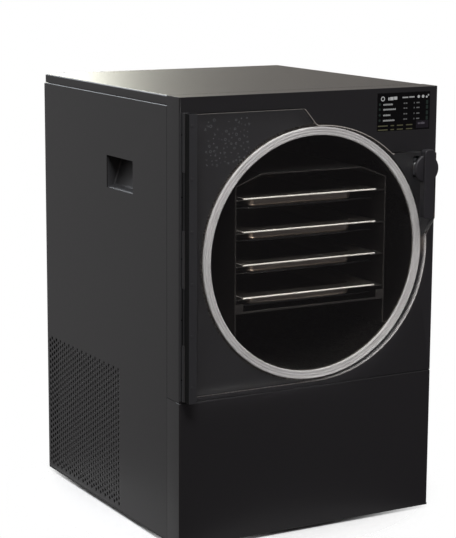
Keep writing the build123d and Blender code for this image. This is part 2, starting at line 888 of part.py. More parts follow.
def hinge_screws():
    x = left + hinge_screw_in
    y0 = front - fixed_leaf_t
    return [rod_y(hinge_screw_r, y0, front + skin + hinge_screw_r, x, z) for z in hinge_screw_heights()]


def hinge_door_leaf():
    leaf = block(leaf_x, leaf_x + leaf_w, door_face - leaf_t, door_face, hinge_z0, hinge_z1)
    leaf += block(leaf_x, leaf_x + leaf_t, door_face, rebate_y, hinge_z0, hinge_z1)
    for k in range(1, knuckles, 2):
        z0, z1 = knuckle_span(k)
        leaf += block(leaf_x, hinge_x, rebate_y, hinge_y, z0, z1)
        leaf += rod_z(knuckle_r, z0, z1, hinge_x, hinge_y)
    for z in clamp_screw_heights():
        y0 = door_face - leaf_t - past
        leaf -= rod_y(clamp_screw_r + fit, y0, door_face + past, clamp_x(), z)
    return leaf - hinge_bore()


def hinge_clamp_screws():
    y0 = door_face - leaf_t
    screws = []
    for z in clamp_screw_heights():
        screw = rod_y(clamp_head_r, y0 - clamp_head_t, y0, clamp_x(), z)
        y1 = door_face + clamp_screw_deep - hole_gap
        screws.append(screw + rod_y(clamp_screw_r, y0, y1, clamp_x(), z))
    return screws


def hinge_pin():
    return rod_z(pin_r, hinge_z0, hinge_z1, hinge_x, hinge_y)


def latch_slot(y0, y1):
    """The slot that the cam passes when its long side is upright."""
    half_w = cam_w / 2 + slot_side
    half_h = cam_half + slot_end
    slot = block(latch_x - half_w, latch_x + half_w, y0, y1, latch_z - half_h, latch_z + half_h)
    return fillet(slot.edges().filter_by(Axis.Y), cam_w / 2)


def latch_strike():
    half_w = strike_w / 2
    half_h = strike_h / 2
    y1 = strike_y + strike_t
    plate = block(latch_x - half_w, latch_x + half_w, strike_y, y1, latch_z - half_h, latch_z + half_h)
    cut0 = strike_y - past
    cut1 = y1 + past
    drum_room = rod_y(flange_r + hole_gap, cut0, cut1, 0, axis_z)
    return plate - drum_room - latch_slot(cut0, cut1)


def latch_bush():
    outer = latch_shaft_r + bush_wall
    bush = rod_y(outer, door_face, door_back, latch_x, latch_z)
    bush += rod_y(outer + bush_flange, door_face - bush_flange_t, door_face, latch_x, latch_z)
    cut0 = door_face - bush_flange_t - past
    return bush - rod_y(latch_shaft_r + fit, cut0, door_back + past, latch_x, latch_z)


def latch_shaft():
    shaft = rod_y(latch_shaft_r, handle_back() - hub_t / 2, cam_y, latch_x, latch_z)
    shaft += rod_y(cam_bore_r, cam_y, cam_y + cam_t, latch_x, latch_z)
    collar = rod_y(collar_r, door_back + cam_gap, door_back + cam_gap + collar_t, latch_x, latch_z)
    return shaft + collar + rod_y(shaft_end_r, cam_y + cam_t, cam_y + cam_t + shaft_end_t, latch_x, latch_z)


def handle_back():
    return door_face - bush_flange_t - cam_gap


def latch_handle():
    y1 = handle_back()
    hub = rod_y(hub_r, y1 - hub_t, y1, latch_x, latch_z)
    hub = fillet(hub.edges().group_by(Axis.Y)[0], bend_r)
    half = lever_w / 2
    y2 = y1 - lever_off
    lever = block(latch_x - half, latch_x + half, y2 - lever_t, y2, latch_z - lever_down, latch_z + lever_up)
    lever = fillet(lever.edges().filter_by(Axis.Y), half / 2)
    lever = fillet(lever.edges().group_by(Axis.Y)[0], bend_r)
    return hub + lever - rod_y(latch_shaft_r, y1 - hub_t / 2, y1 + past, latch_x, latch_z)


def latch_cam():
    half = cam_w / 2
    cam = block(latch_x - half, latch_x + half, cam_y, cam_y + cam_t, latch_z - cam_half, latch_z + cam_half)
    cam = fillet(cam.edges().filter_by(Axis.Y), half / 2)
    return cam - rod_y(cam_bore_r, cam_y - past, cam_y + cam_t + past, latch_x, latch_z)


# ---------------------------------------------------------------- display

def display_glass():
    half_w = glass_w / 2
    half_h = glass_h / 2
    y1 = flange_y
    pane = block(glass_x - half_w, glass_x + half_w, front, y1, glass_z - half_h, glass_z + half_h)
    rim_w = half_w + glass_rim
    rim_h = half_h + glass_rim
    rim_y = y1 + glass_rim_t
    return pane + block(glass_x - rim_w, glass_x + rim_w, y1, rim_y, glass_z - rim_h, glass_z + rim_h)


def display_board():
    half_w = glass_w / 2
    half_h = glass_h / 2
    y0 = flange_y + glass_rim_t
    y1 = y0 + lcd_t
    lcd_h = half_h - lcd_inset
    board = block(glass_x - half_w, glass_x + half_w, y0, y1, glass_z - lcd_h, glass_z + lcd_h)
    y2 = y1 + board_t
    return board + block(glass_x - half_w, glass_x + half_w, y1, y2, glass_z - half_h, glass_z + half_h)


# ---------------------------------------------------------------- refrigeration set

def compressor():
    z0 = can_low
    z1 = z0 + can_foot_t
    half_w = can_foot_w / 2
    half_d = can_foot_d / 2
    foot = block(can_x - half_w, can_x + half_w, can_mid - half_d, can_mid + half_d, z0, z1)
    can = rod_z(can_r, z1, z1 + can_h, can_x, can_mid)
    can = fillet(can.edges().filter_by(GeomType.CIRCLE).sort_by(Axis.Z)[-1], can_dome)
    lid_x = can_x + can_r
    lid = block(lid_x - can_dome / 2, lid_x + can_dome / 2, can_mid - can_dome, can_mid + can_dome,
                z1 + can_h / 3, z1 + can_h / 3 + 2 * can_dome)
    return foot + can + lid


def grommet_spots():
    half_w = can_foot_w / 2 - grommet_inset
    half_d = can_foot_d / 2 - grommet_inset
    return [(can_x + sx * half_w, can_mid + sy * half_d) for sx in (-1, 1) for sy in (-1, 1)]


def compressor_grommets():
    return [rod_z(grommet_r, seat, can_low, x, y) for x, y in grommet_spots()]


def condenser_coil():
    """A pack of upright fins on bent tubes, between two end plates."""
    y1 = cond_front + cond_len
    z1 = cond_low + cond_h
    pack = block(cond_x, shroud_x, cond_front, cond_front + fin_t, cond_low, z1)
    count = int((cond_len - fin_t) / fin_pitch)
    for y in spread(cond_front + fin_pitch, y1 - fin_t, count):
        pack += block(cond_x, shroud_x, y, y + fin_t, cond_low, z1)
    for z in spread(cond_low + cond_h / 8, z1 - cond_h / 8, tube_rows):
        pack += rod_y(tube_r, cond_front, y1, cond_x + cond_t / 2, z)
    return pack


def fan_shroud():
    """A plate with a round opening, and a bridge that carries the motor."""
    x1 = shroud_x + shroud_t
    plate = block(shroud_x, x1, cond_front, cond_front + cond_len, cond_low, cond_low + cond_h)
    plate -= rod_x(shroud_hole_r, shroud_x - past, x1 + past, fan_y, fan_z)
    motor_x = x1 + motor_off
    reach = shroud_hole_r + arm_w
    for sign in (-1, 1):
        y = fan_y + sign * reach
        foot0 = min(y, y - sign * arm_w)
        plate += block(x1, motor_x + arm_t, foot0, foot0 + arm_w, fan_z - arm_w / 2, fan_z + arm_w / 2)
    low = fan_z - arm_w / 2
    plate += block(motor_x, motor_x + arm_t, fan_y - reach, fan_y + reach, low, low + arm_w)
    return plate - rod_x(motor_r / 2, motor_x - past, motor_x + arm_t + past, fan_y, fan_z)


def motor_face():
    return shroud_x + shroud_t + motor_off + arm_t


def fan_motor():
    x0 = motor_face()
    motor = rod_x(motor_r, x0, x0 + motor_len, fan_y, fan_z)
    motor = fillet(motor.edges().filter_by(GeomType.CIRCLE).sort_by(Axis.X)[-1], motor_r / 4)
    return motor - rod_x(fan_shaft_r + fit, x0 - past, x0 + fan_shaft_in + fit, fan_y, fan_z)


def fan_shaft():
    return rod_x(fan_shaft_r, fan_x(), motor_face() + fan_shaft_in, fan_y, fan_z)


def fan_x():
    """The blades' hub, in the shroud's opening."""
    return shroud_x + shroud_t + motor_off - arm_t - fan_hub_t


def fan_blades():
    x0 = fan_x()
    fan = rod_x(fan_hub_r, x0, x0 + fan_hub_t, fan_y, fan_z)
    middle = x0 + fan_hub_t / 2
    for k in range(fan_blades_n):
        span = fan_r - fan_hub_r / 2
        blade = Rot(0, 0, fan_blade_tilt) * Box(fan_blade_t, fan_blade_w, span)
        blade = Pos(0, 0, fan_hub_r / 2 + span / 2) * blade
        turn = Rot(360 / fan_blades_n * k, 0, 0)
        fan += Pos(middle, fan_y, fan_z) * turn * blade
    return fan - rod_x(fan_shaft_r, x0 - fan_hub_t, x0 + 2 * fan_hub_t, fan_y, fan_z)


def suction_line():
    y = coil_y(coil_turns - 1)
    z = seat + can_h - can_dome
    line = pipe([(tail_x(), y, tail_low), (tail_x(), y, z), (tail_x(), can_mid, z)], coil_r, pipe_bend)
    return line - rod_z(can_r + fit, can_low, deck_low, can_x, can_mid)


def discharge_line():
    z = can_low + can_h / 2
    high = deck_low - line_under
    turn_y = cond_front - discharge_before
    points = [(can_x, can_mid, z), (line_x, can_mid, z), (line_x, can_mid, high)]
    points += [(line_x, turn_y, high), (cond_port_x(), turn_y, high), (cond_port_x(), cond_front, high)]
    line = pipe(points, coil_r, pipe_bend / 2)
    return line - rod_z(can_r + fit, can_low, deck_low, can_x, can_mid)


def cond_port_x():
    return cond_x + cond_t / 2


def liquid_line():
    """From the condenser's foot through the drier brazed into it, and up to the coil's first turn."""
    y = cond_front - liquid_before
    z = base + line_z
    first = pipe([(cond_port_x(), cond_front, z), (cond_port_x(), y, z), (drier_x, y, z)], coil_r, pipe_bend)
    points = [(drier_x + drier_len, y, z), (tail_x(), y, z), (tail_x(), coil_y(0), z)]
    second = pipe(points + [(tail_x(), coil_y(0), tail_low)], coil_r, pipe_bend)
    drier = rod_x(drier_r, drier_x, drier_x + drier_len, y, z)
    drier = fillet(drier.edges().filter_by(GeomType.CIRCLE), (drier_r - coil_r) / 2)
    return first + drier + second


# ---------------------------------------------------------------- electrics

def power_supply():
    x0 = supply_x - supply_w / 2
    y0 = front + supply_y
    y1 = cond_front - liquid_before - drier_r - supply_gap
    z1 = seat + supply_h
    case = block(x0, x0 + supply_w, y0, y1, seat, z1)
    near = y0 + supply_slot_inset
    far = y1 - supply_slot_inset
    half = supply_slot_w / 2
    for i in range(supply_slots):
        x = x0 + supply_w * (i + 1) / (supply_slots + 1)
        case -= block(x - half, x + half, near, far, z1 - supply_slot_deep, z1 + past)
    return case


def control_board():
    """A board on four posts inside the right side, with its relays and terminals."""
    x1 = right - skin
    x0 = x1 - standoff
    y0 = front + ctrl_y
    z0 = base + ctrl_z
    board = block(x0 - board_t, x0, y0, y0 + ctrl_len, z0, z0 + ctrl_h)
    for y in (y0 + 2 * standoff_r, y0 + ctrl_len - 2 * standoff_r):
        for z in (z0 + 2 * standoff_r, z0 + ctrl_h - 2 * standoff_r):
            board += rod_x(standoff_r, x0, x1, y, z)
    face = x0 - board_t
    relay_z = z0 + relay_low
    terminal_z = z0 + terminal_low
    for i in range(relay_n):
        y = y0 + relay_first + relay_pitch * i
        board += block(face - relay_t, face, y, y + relay_w, relay_z, relay_z + relay_h)
        board += block(face - terminal_t, face, y, y + relay_w, terminal_z, terminal_z + terminal_h)
    chip_y = y0 + chip_first
    chip_z = z0 + chip_low
    return board + block(face - chip_t, face, chip_y, chip_y + chip_w, chip_z, chip_z + chip_w)


def feedthrough():
    z = axis_z + plug_up
    plug = rod_y(plug_r, drum_back, drum_end, plug_x, z)
    plug += rod_y(plug_flange_r, drum_end, drum_end + plug_flange_t, plug_x, z)
    for k in range(plug_pins):
        angle = 2 * math.pi * k / plug_pins
        px = plug_x + plug_r / 2 * math.cos(angle)
        pz = z + plug_r / 2 * math.sin(angle)
        plug += rod_y(tray_sheet, drum_back - plug_flange_t, drum_end + 2 * plug_flange_t, px, pz)
    return plug


def socket_body(x):
    """A flanged mains socket body in the rear panel, open to the rear."""
    z = base + inlet_z
    half_w = inlet_w / 2
    half_h = inlet_h / 2
    y0 = back - inlet_deep
    body = block(x - half_w, x + half_w, y0, back, z - half_h, z + half_h)
    rim_w = half_w + inlet_flange
    rim_h = half_h + inlet_brow
    rim_y = back + inlet_flange_t
    body += block(x - rim_w, x + rim_w, back, rim_y, z - rim_h, z + rim_h)
    w = half_w - inlet_wall
    h = half_h - inlet_wall
    return body - block(x - w, x + w, y0 + inlet_wall, rim_y + past, z - h, z + h)


def blade_spots(x):
    """The three contacts of a mains socket, the middle one higher."""
    z = base + inlet_z
    side_z = z - blade_rise / 2
    return [(x - blade_side, side_z), (x, z + blade_rise / 2), (x + blade_side, side_z)]


def blades(x, y0, y1):
    w = blade_half_w
    h = blade_half_h
    return [block(bx - w, bx + w, y0, y1, bz - h, bz + h) for bx, bz in blade_spots(x)]


def power_inlet():
    y0 = back - inlet_deep + inlet_wall
    body = socket_body(inlet_x)
    for blade in blades(inlet_x, y0, y0 + blade_len):
        body += blade
    return body


def pump_outlet():
    z = base + inlet_z
    y0 = back - inlet_deep + inlet_wall
    y1 = back - outlet_set
    w = inlet_w / 2 - inlet_wall - outlet_room
    h = inlet_h / 2 - inlet_wall - outlet_room
    body = socket_body(outlet_x)
    body += block(outlet_x - w, outlet_x + w, y0, y1, z - h, z + h)
    for slit in blades(outlet_x, y1 - blade_len, y1 + past):
        body -= slit
    return body


def switch_body():
    z = base + inlet_z
    w = rocker_w / 2 + rocker_clear
    h = rocker_h / 2 + rocker_clear
    wall = switch_wall
    y0 = back - switch_deep
    body = block(rocker_x - w - wall, rocker_x + w + wall, y0, back, z - h - wall, z + h + wall)
    rim = 2 * wall
    rim_y = back + switch_rim_t
    body += block(rocker_x - w - rim, rocker_x + w + rim, back, rim_y, z - h - rim, z + h + rim)
    body -= block(rocker_x - w, rocker_x + w, y0 + wall, rim_y + past, z - h, z + h)
    pin = rocker_pin_r + fit
    return body - rod_x(pin, rocker_x - w - wall / 2, rocker_x + w + wall / 2, back - rocker_set, z)


def switch_rocker():
    z = base + inlet_z
    half_w = rocker_w / 2
    half_h = rocker_h / 2
    face = rocker_t / 2
    horn = face - rocker_brow
    outline = [(-face, -half_h), (horn, -half_h), (face - rocker_dish, 0), (horn, half_h), (-face, half_h)]
    rocker = slab_x(Rot(0, 0, -rocker_tilt) * polygon(outline), -half_w, half_w)
    reach = half_w + rocker_clear + switch_wall / 2 - fit
    rocker += rod_x(rocker_pin_r, -reach, reach, 0, 0)
    return Pos(rocker_x, back - rocker_set, z) * rocker


# ---------------------------------------------------------------- vacuum port and drain

def vacuum_port():
    z = axis_z + port_up
    y1 = back + port_out
    port = rod_y(port_r, drum_back, y1, 0, z)
    port += rod_y(port_flange_r, y1 - port_flange_t, y1, 0, z)
    return port - rod_y(port_r - port_wall, drum_back - past, y1 + past, 0, z)


def drain_pipe():
    top_z = axis_z - math.sqrt((chamber_r + chamber_wall / 2) ** 2 - drain_x ** 2)
    z = base + drain_z
    points = [(drain_x, drain_y, top_z), (drain_x, drain_y, z)]
    points += [(drain_x, back + valve_out + valve_r, z)]
    return pipe(points, drain_r, drain_bend, drain_wall)


def drain_valve_body():
    y0 = back + valve_out
    z = base + drain_z
    body = rod_y(valve_r, y0, y0 + valve_len, drain_x, z)
    body += rod_y(drain_r, y0 + valve_len, y0 + valve_len + spigot_len, drain_x, z)
    body += rod_z(2 * stem_r, z, z + valve_r + stem_r, drain_x, y0 + valve_len / 2)
    body -= rod_y(drain_r + fit, y0 - past, y0 + valve_r, drain_x, z)
    body -= rod_y(drain_r - drain_wall, y0, y0 + valve_len + spigot_len + past, drain_x, z)
    return body - rod_z(stem_r + fit, z + valve_r - stem_h, z + 2 * valve_r, drain_x, y0 + valve_len / 2)


def drain_valve_handle():
    """The lever with the ball's stem, one forging."""
    z = base + drain_z + valve_r + stem_r + fit
    y = back + valve_out + valve_len / 2
    z1 = z + stem_h - stem_r
    boss = rod_z(2 * stem_r, z, z1, drain_x, y)
    half = valve_lever_w / 2
    x1 = drain_x + valve_lever
    lever = block(drain_x, x1, y - half, y + half, z1 - valve_lever_t, z1)
    lever = fillet(lever.edges().filter_by(Axis.Z).group_by(Axis.X)[-1], 0.8 * half)
    return boss + lever + rod_z(stem_r, z - stem_h + stem_r, z, drain_x, y)


def build():
    parts = {
        "base_pan": base_pan(),
        "left_side_panel": left_side_panel(),
        "right_side_panel": right_side_panel(),
        "top_cover": top_cover(),
        "rear_panel": rear_panel(),
        "front_fascia": front_fascia(),
        "lower_front_panel": lower_front_panel(),
        "left_grip_cup": left_grip_cup(),
        "right_grip_cup": right_grip_cup(),
        "left_filter_pad": left_filter_pad(),
        "chamber_drum": chamber_drum(),
        "door_seal": door_seal(),
        "drum_insulation": drum_insulation(),
        "evaporator_coil": evaporator_coil(),
        "chamber_cradle": chamber_cradle(),
        "rack_frame": rack_frame(),
        "door_panel": door_panel(),
        "hinge_frame_leaf": hinge_frame_leaf(),
        "hinge_door_leaf": hinge_door_leaf(),
        "hinge_pin": hinge_pin(),
        "latch_strike": latch_strike(),
        "latch_bush": latch_bush(),
        "latch_shaft": latch_shaft(),
        "latch_handle": latch_handle(),
        "latch_cam": latch_cam(),
        "display_glass": display_glass(),
        "display_board": display_board(),
        "compressor": compressor(),
        "condenser_coil": condenser_coil(),
        "fan_shroud": fan_shroud(),
        "fan_motor": fan_motor(),
        "fan_blades": fan_blades(),
        "fan_shaft": fan_shaft(),
        "suction_line": suction_line(),
        "discharge_line": discharge_line(),
        "liquid_line": liquid_line(),
        "power_supply": power_supply(),
        "control_board": control_board(),
        "feedthrough": feedthrough(),
        "power_inlet": power_inlet(),
        "pump_outlet": pump_outlet(),
        "switch_body": switch_body(),
        "switch_rocker": switch_rocker(),
        "vacuum_port": vacuum_port(),
        "drain_pipe": drain_pipe(),
        "drain_valve_body": drain_valve_body(),
        "drain_valve_handle": drain_valve_handle(),
        "compressor_grommets": Compound(compressor_grommets()),
        "feet": Compound(feet()),
        "panel_screws": Compound(panel_screws()),
        "hinge_screws": Compound(hinge_screws()),
        "hinge_clamp_screws": Compound(hinge_clamp_screws()),
    }
    for n in range(tray_count):
        parts[f"tray_{n + 1}"] = tray(n)
        parts[f"heater_shelf_{n + 1}"] = heater_shelf(n)
    return parts


def main():
    os.makedirs("parts", exist_ok=True)
    for name, shape in build().items():
        export_step(shape, f"parts/{name}.step")


main()
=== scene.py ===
import json
import math
import random

import bmesh
import bpy
from mathutils import Matrix, Vector

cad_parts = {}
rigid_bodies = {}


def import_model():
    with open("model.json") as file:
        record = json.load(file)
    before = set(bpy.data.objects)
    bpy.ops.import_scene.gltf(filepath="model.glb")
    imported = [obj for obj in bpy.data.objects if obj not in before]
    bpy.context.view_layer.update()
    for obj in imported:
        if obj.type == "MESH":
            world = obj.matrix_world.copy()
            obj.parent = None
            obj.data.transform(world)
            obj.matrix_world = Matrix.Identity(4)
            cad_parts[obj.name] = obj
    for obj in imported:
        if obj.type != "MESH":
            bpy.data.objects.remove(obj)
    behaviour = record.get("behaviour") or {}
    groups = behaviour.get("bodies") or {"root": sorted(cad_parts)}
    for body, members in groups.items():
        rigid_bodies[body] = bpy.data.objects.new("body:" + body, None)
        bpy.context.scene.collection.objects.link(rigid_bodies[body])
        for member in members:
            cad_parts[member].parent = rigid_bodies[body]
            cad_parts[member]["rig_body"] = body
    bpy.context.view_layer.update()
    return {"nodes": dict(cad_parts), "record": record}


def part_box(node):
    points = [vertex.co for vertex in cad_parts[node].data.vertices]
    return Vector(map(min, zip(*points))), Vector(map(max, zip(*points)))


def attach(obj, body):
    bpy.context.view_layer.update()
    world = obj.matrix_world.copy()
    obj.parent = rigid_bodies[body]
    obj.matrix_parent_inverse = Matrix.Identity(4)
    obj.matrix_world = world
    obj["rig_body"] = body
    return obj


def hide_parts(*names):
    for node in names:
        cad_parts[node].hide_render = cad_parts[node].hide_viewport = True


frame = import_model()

# A bench freeze dryer in black powder coat, with a clear door over a round steel chamber.
# Metres. +X is to the right of someone facing the door, +Y into the cabinet, +Z up.

nodes = frame["nodes"]
MM = 0.001


# ------------------------ colour and nodes

def colour(code):
    """Linear colour from an sRGB hex value."""
    shares = [int(code[i:i + 2], 16) / 255 for i in (0, 2, 4)]
    return [s / 12.92 if s <= 0.04045 else ((s + 0.055) / 1.055) ** 2.4 for s in shares] + [1.0]


def add(tree, kind, inputs=None, **settings):
    """Add a node; an input is a number, a colour or the output that feeds it."""
    made = tree.nodes.new(kind)
    for key, value in settings.items():
        setattr(made, key, value)
    for key, value in (inputs or {}).items():
        if isinstance(value, bpy.types.NodeSocket):
            tree.links.new(value, made.inputs[key])
        else:
            made.inputs[key].default_value = value
    return made


def plain(name, code, **sockets):
    """A material of one colour; returns the material, its nodes and its shader."""
    material = bpy.data.materials.new(name)
    material.use_nodes = True
    tree = material.node_tree
    shader = tree.nodes["Principled BSDF"]
    shader.inputs["Base Color"].default_value = colour(code)
    for key, value in sockets.items():
        shader.inputs[key.replace("_", " ")].default_value = value
    return material, tree, shader


def grained(name, code, grain, depth, codes=None, rough=None, stretch=(1, 1, 1), detail=2.0, **sockets):
    """A material whose relief, colour and roughness follow one grain, its size and depth in millimetres.

    Its plain colour and roughness are for viewers that don't read nodes. Brushing, turning and mould grain
    are finer on the real thing: here they are as coarse as they need to be to show.
    """
    material, tree, shader = plain(name, code, **sockets)
    place = add(tree, "ShaderNodeTexCoord").outputs["Object"]
    place = add(tree, "ShaderNodeMapping", {"Vector": place, "Scale": stretch}).outputs["Vector"]
    noise = add(tree, "ShaderNodeTexNoise", {"Vector": place, "Scale": 1 / (grain * MM), "Detail": detail})
    spread = noise.outputs["Fac"]
    if depth:
        bump = add(tree, "ShaderNodeBump", {"Height": spread, "Strength": 1.0, "Distance": depth * MM})
        tree.links.new(bump.outputs["Normal"], shader.inputs["Normal"])
    if codes:               # inputs 6 and 7 of a colour mix are its two colours
        mix = add(tree, "ShaderNodeMix", {"Factor": spread, 6: colour(codes[0]), 7: colour(codes[1])},
                  data_type="RGBA")
        tree.links.new(mix.outputs[2], shader.inputs["Base Color"])
    if rough:               # most of the noise lies between 0.3 and 0.7
        ramp = add(tree, "ShaderNodeMapRange", {"Value": spread, "From Min": 0.3, "From Max": 0.7,
                                                "To Min": rough[0], "To Max": rough[1]})
        tree.links.new(ramp.outputs["Result"], shader.inputs["Roughness"])
    return material


# ------------------------ finishes

def powder_coated_steel():
    """Pressed steel, powder coated black: a semi-matt skin with a fine orange peel."""
    return grained("powder_coated_steel", "1b1a1c", 1.2, 0.012, ("191819", "1e1d1f"), (0.32, 0.4),
                   Roughness=0.36, IOR=1.5)


def coated_edge():
    """The punched edge of the powder-coated sheet, where the coat is thin and dull."""
    return grained("coated_cut_edge", "1a1a1b", 0.8, 0.004, ("161617", "1f1f20"), (0.75, 0.86),
                   Roughness=0.8, Specular_IOR_Level=0.15)


def base_steel():
    """Folded steel, powder coated black: an even satin skin."""
    return grained("satin_black_steel", "1b1b1c", 1.0, 0.01, ("191919", "1f1f20"), (0.45, 0.55),
                   Roughness=0.5, IOR=1.5)


def foot_rubber():
    """Moulded nitrile rubber: matt, faintly pitted."""
    return grained("moulded_rubber", "171717", 0.8, 0.03, ("141414", "1c1c1c"), (0.75, 0.9), Roughness=0.85,
                   IOR=1.52)


def moulded_abs():
    """Moulded ABS, charcoal, with a spark-eroded texture: an even, slightly rough sheen."""
    return grained("textured_abs", "2e2e30", 0.7, 0.03, ("29292b", "343436"), (0.42, 0.58), Roughness=0.5,
                   IOR=1.53)


def filter_foam():
    """Open-cell polyurethane foam: matt grey, full of pores."""
    return grained("open_cell_foam", "7c7c7c", 1.6, 0.6, ("686868", "909090"), Roughness=1.0)


def chamber_steel():
    """Rolled 304 stainless sheet with a bright finish: soft streaks run round the chamber."""
    return grained("rolled_stainless", "6c6763", 2.0, 0.004, ("625d59", "76716d"), (0.22, 0.32), (1, 12, 1),
                   Metallic=1.0, Roughness=0.26)


def rack_steel():
    """Bent 304 stainless sheet, brushed: fine level lines blur what it mirrors."""
    return grained("brushed_stainless_sheet", "605c59", 1.2, 0.003, ("56524f", "6a6663"), (0.29, 0.4),
                   (1, 1, 14), Metallic=1.0, Roughness=0.34)


def tray_steel():
    """Drawn stainless sheet with a bright rim: a fine grain along the tray."""
    return grained("drawn_stainless", "a2988f", 0.9, 0.003, ("988e86", "aca299"), (0.26, 0.36), (14, 1, 14),
                   Metallic=1.0, Roughness=0.3)


def painted_rim_highlight():
    """The tray's rim edge in a bright, matt colour: a painted highlight for the light line along the rolled
    lip.
    """
    return grained("stainless_rim_painted_highlight", "e6e2dc", 0.6, 0.01, ("dcd8d2", "efebe5"), (0.76, 0.86),
                   Metallic=1.0, Roughness=0.8)


def heater_plate():
    """Aluminium plate, painted near-black as the shade under the trays: dark, with faint rolling marks."""
    return grained("aluminium_painted_shade", "151516", 1.5, 0.004, ("121213", "191a1b"), (0.44, 0.56),
                   (12, 1, 1), Roughness=0.5, IOR=1.6)


def seal_silicone():
    """Moulded silicone rubber: warm light grey, slightly milky, with a soft sheen."""
    return grained("moulded_silicone", "9c9898", 1.0, 0.008, ("989494", "a09c9c"), (0.56, 0.66),
                   Roughness=0.6, IOR=1.41)


def insulating_foam():
    """Sprayed polyurethane foam: cream, lumpy."""
    return grained("sprayed_foam", "c9b98c", 9.0, 1.2, ("bda975", "d8caa2"), (0.8, 0.95), detail=4.0,
                   Roughness=0.9)


def copper_tube():
    """Drawn copper, dulled by handling: a warm brown with brighter patches."""
    return grained("drawn_copper", "b06f4c", 6.0, 0.004, ("9a5d3f", "c27f5b"), (0.25, 0.42), Metallic=1.0,
                   Roughness=0.32)


def door_acrylic():
    """Cast acrylic plate, polished: quite clear, with sharp reflections."""
    return plain("cast_acrylic", "f6f8f7", Roughness=0.0, IOR=1.49, Transmission_Weight=1.0)[0]


def acrylic_edge():
    """Machined and flame-polished acrylic: a chamfer that is a little milky; its grey is a painted highlight
    for the bright lines the polished edge reflects.
    """
    return grained("acrylic_edge_painted_highlight", "918c87", 1.5, 0.01, None, (0.15, 0.35), IOR=1.49,
                   Transmission_Weight=0.25)


def etched_acrylic():
    """Laser-etched acrylic: a frosted, pale grey mark."""
    return grained("etched_acrylic", "5c5c60", 4.0, 0.02, ("434347", "77777c"), Roughness=0.7, IOR=1.49)


def hinge_steel():
    """Rolled steel hinge, black oxide over a brushed face: dark grey, with upright lines."""
    return grained("black_oxide_hinge", "262628", 0.8, 0.004, ("222224", "2b2b2d"), (0.35, 0.45),
                   (1, 1, 0.05), Roughness=0.4, IOR=1.6)


def painted_hinge_shade():
    """The hinge's returned side in near-black matt: painted shade for the gap beside the door leaf."""
    return grained("hinge_gap_painted_shade", "0a0a0a", 0.8, 0.004, ("080808", "0d0d0d"), (0.7, 0.82),
                   Roughness=0.75, Specular_IOR_Level=0.1)


def black_screw():
    """Cold-headed screw, black oxide: nearly black, with hardly a sheen."""
    return grained("black_oxide_screw", "070707", 0.5, 0.004, ("050505", "0a0a0a"), (0.45, 0.58),
                   Roughness=0.5, Specular_IOR_Level=0.2)


def pin_steel():
    """Ground steel pin: bright, with fine lines round it."""
    return grained("ground_steel", "a7a6a4", 0.6, 0.002, ("9c9b99", "b2b1af"), (0.2, 0.3), (1, 1, 8),
                   Metallic=1.0, Roughness=0.25)


def handle_nylon():
    """Glass-filled nylon, moulded: dark grey, with a fine matt grain."""
    return grained("glass_filled_nylon", "222124", 0.6, 0.02, ("1f1e21", "262528"), (0.4, 0.52),
                   Roughness=0.45, IOR=1.45)


def bush_nylon():
    """Turned nylon, black: a close, shiny surface."""
    return grained("turned_nylon", "1c1d22", 0.6, 0.006, ("191a1f", "212228"), (0.1, 0.2), Roughness=0.15,
                   IOR=1.53)


def latch_steel():
    """Turned stainless steel: bright, with crisp glints."""
    return grained("turned_stainless", "a5a6ab", 0.5, 0.002, ("9b9ca1", "b0b1b6"), (0.16, 0.26),
                   Metallic=1.0, Roughness=0.2)


def display_glass():
    """Float glass, printed black behind: a mirror-smooth face."""
    return grained("black_backed_glass", "030304", 60.0, 0.0, ("020203", "050506"), (0.06, 0.1),
                   Roughness=0.08, IOR=1.52)


def lit_segments(name, code, strength):
    """Backlit LCD segments: black plastic that glows softly in one colour."""
    return plain("backlit_lcd_" + name, "050505", Roughness=0.4, Emission_Color=colour(code),
                  Emission_Strength=strength)[0]


def circuit_board():
    """Glass-epoxy laminate under green solder mask: a thin, glossy green."""
    return grained("solder_mask_laminate", "14401f", 2.5, 0.02, ("0f3318", "1a4d27"), (0.28, 0.42),
                   Roughness=0.35, IOR=1.5)


def compressor_paint():
    """Stoved black enamel over a pressed can: a glossy skin with slight waves."""
    return grained("stoved_enamel", "121213", 2.5, 0.02, ("0f0f10", "171718"), (0.24, 0.34), Roughness=0.28,
                   IOR=1.5)


def aluminium_fins():
    """Pressed aluminium fins: light grey, with an uneven sheen."""
    return grained("pressed_aluminium", "a9abad", 1.8, 0.01, ("9c9ea0", "b6b8ba"), (0.3, 0.42),
                   Metallic=1.0, Roughness=0.35)


def galvanised_steel():
    """Hot-dip galvanised sheet: grey zinc spangle."""
    return grained("galvanised_sheet", "9a9da0", 8.0, 0.005, ("85888b", "adb0b3"), (0.34, 0.52),
                   Metallic=1.0, Roughness=0.42)


def fan_plastic():
    """Moulded polypropylene, dark grey: a waxy, half-matt face."""
    return grained("moulded_polypropylene", "2b2c2e", 1.0, 0.01, ("262729", "313234"), (0.4, 0.5),
                   Roughness=0.45, IOR=1.49)


def socket_plastic():
    """Moulded nylon, black: an even half-gloss."""
    return grained("inlet_nylon", "111112", 0.8, 0.008, ("0e0e0f", "161617"), (0.28, 0.38), Roughness=0.32,
                   IOR=1.53)


def stainless_fitting():
    """Turned stainless vacuum fitting: bright, with rings round it."""
    return grained("turned_vacuum_fitting", "c4c3c0", 0.6, 0.003, ("b8b7b4", "d0cfcc"), (0.18, 0.28),
                   (1, 8, 1), Metallic=1.0, Roughness=0.22)


def valve_brass():
    """Forged and turned brass, unplated: a warm yellow metal."""
    return grained("forged_brass", "c39b51", 1.5, 0.01, ("b58d45", "d0a95f"), (0.24, 0.38), Metallic=1.0,
                   Roughness=0.3)


def lever_vinyl():
    """Dipped vinyl grip over a steel lever: soft red."""
    return grained("dipped_vinyl", "a3231f", 3.0, 0.05, ("981f1b", "ad2824"), (0.34, 0.46), Roughness=0.4,
                   IOR=1.52)


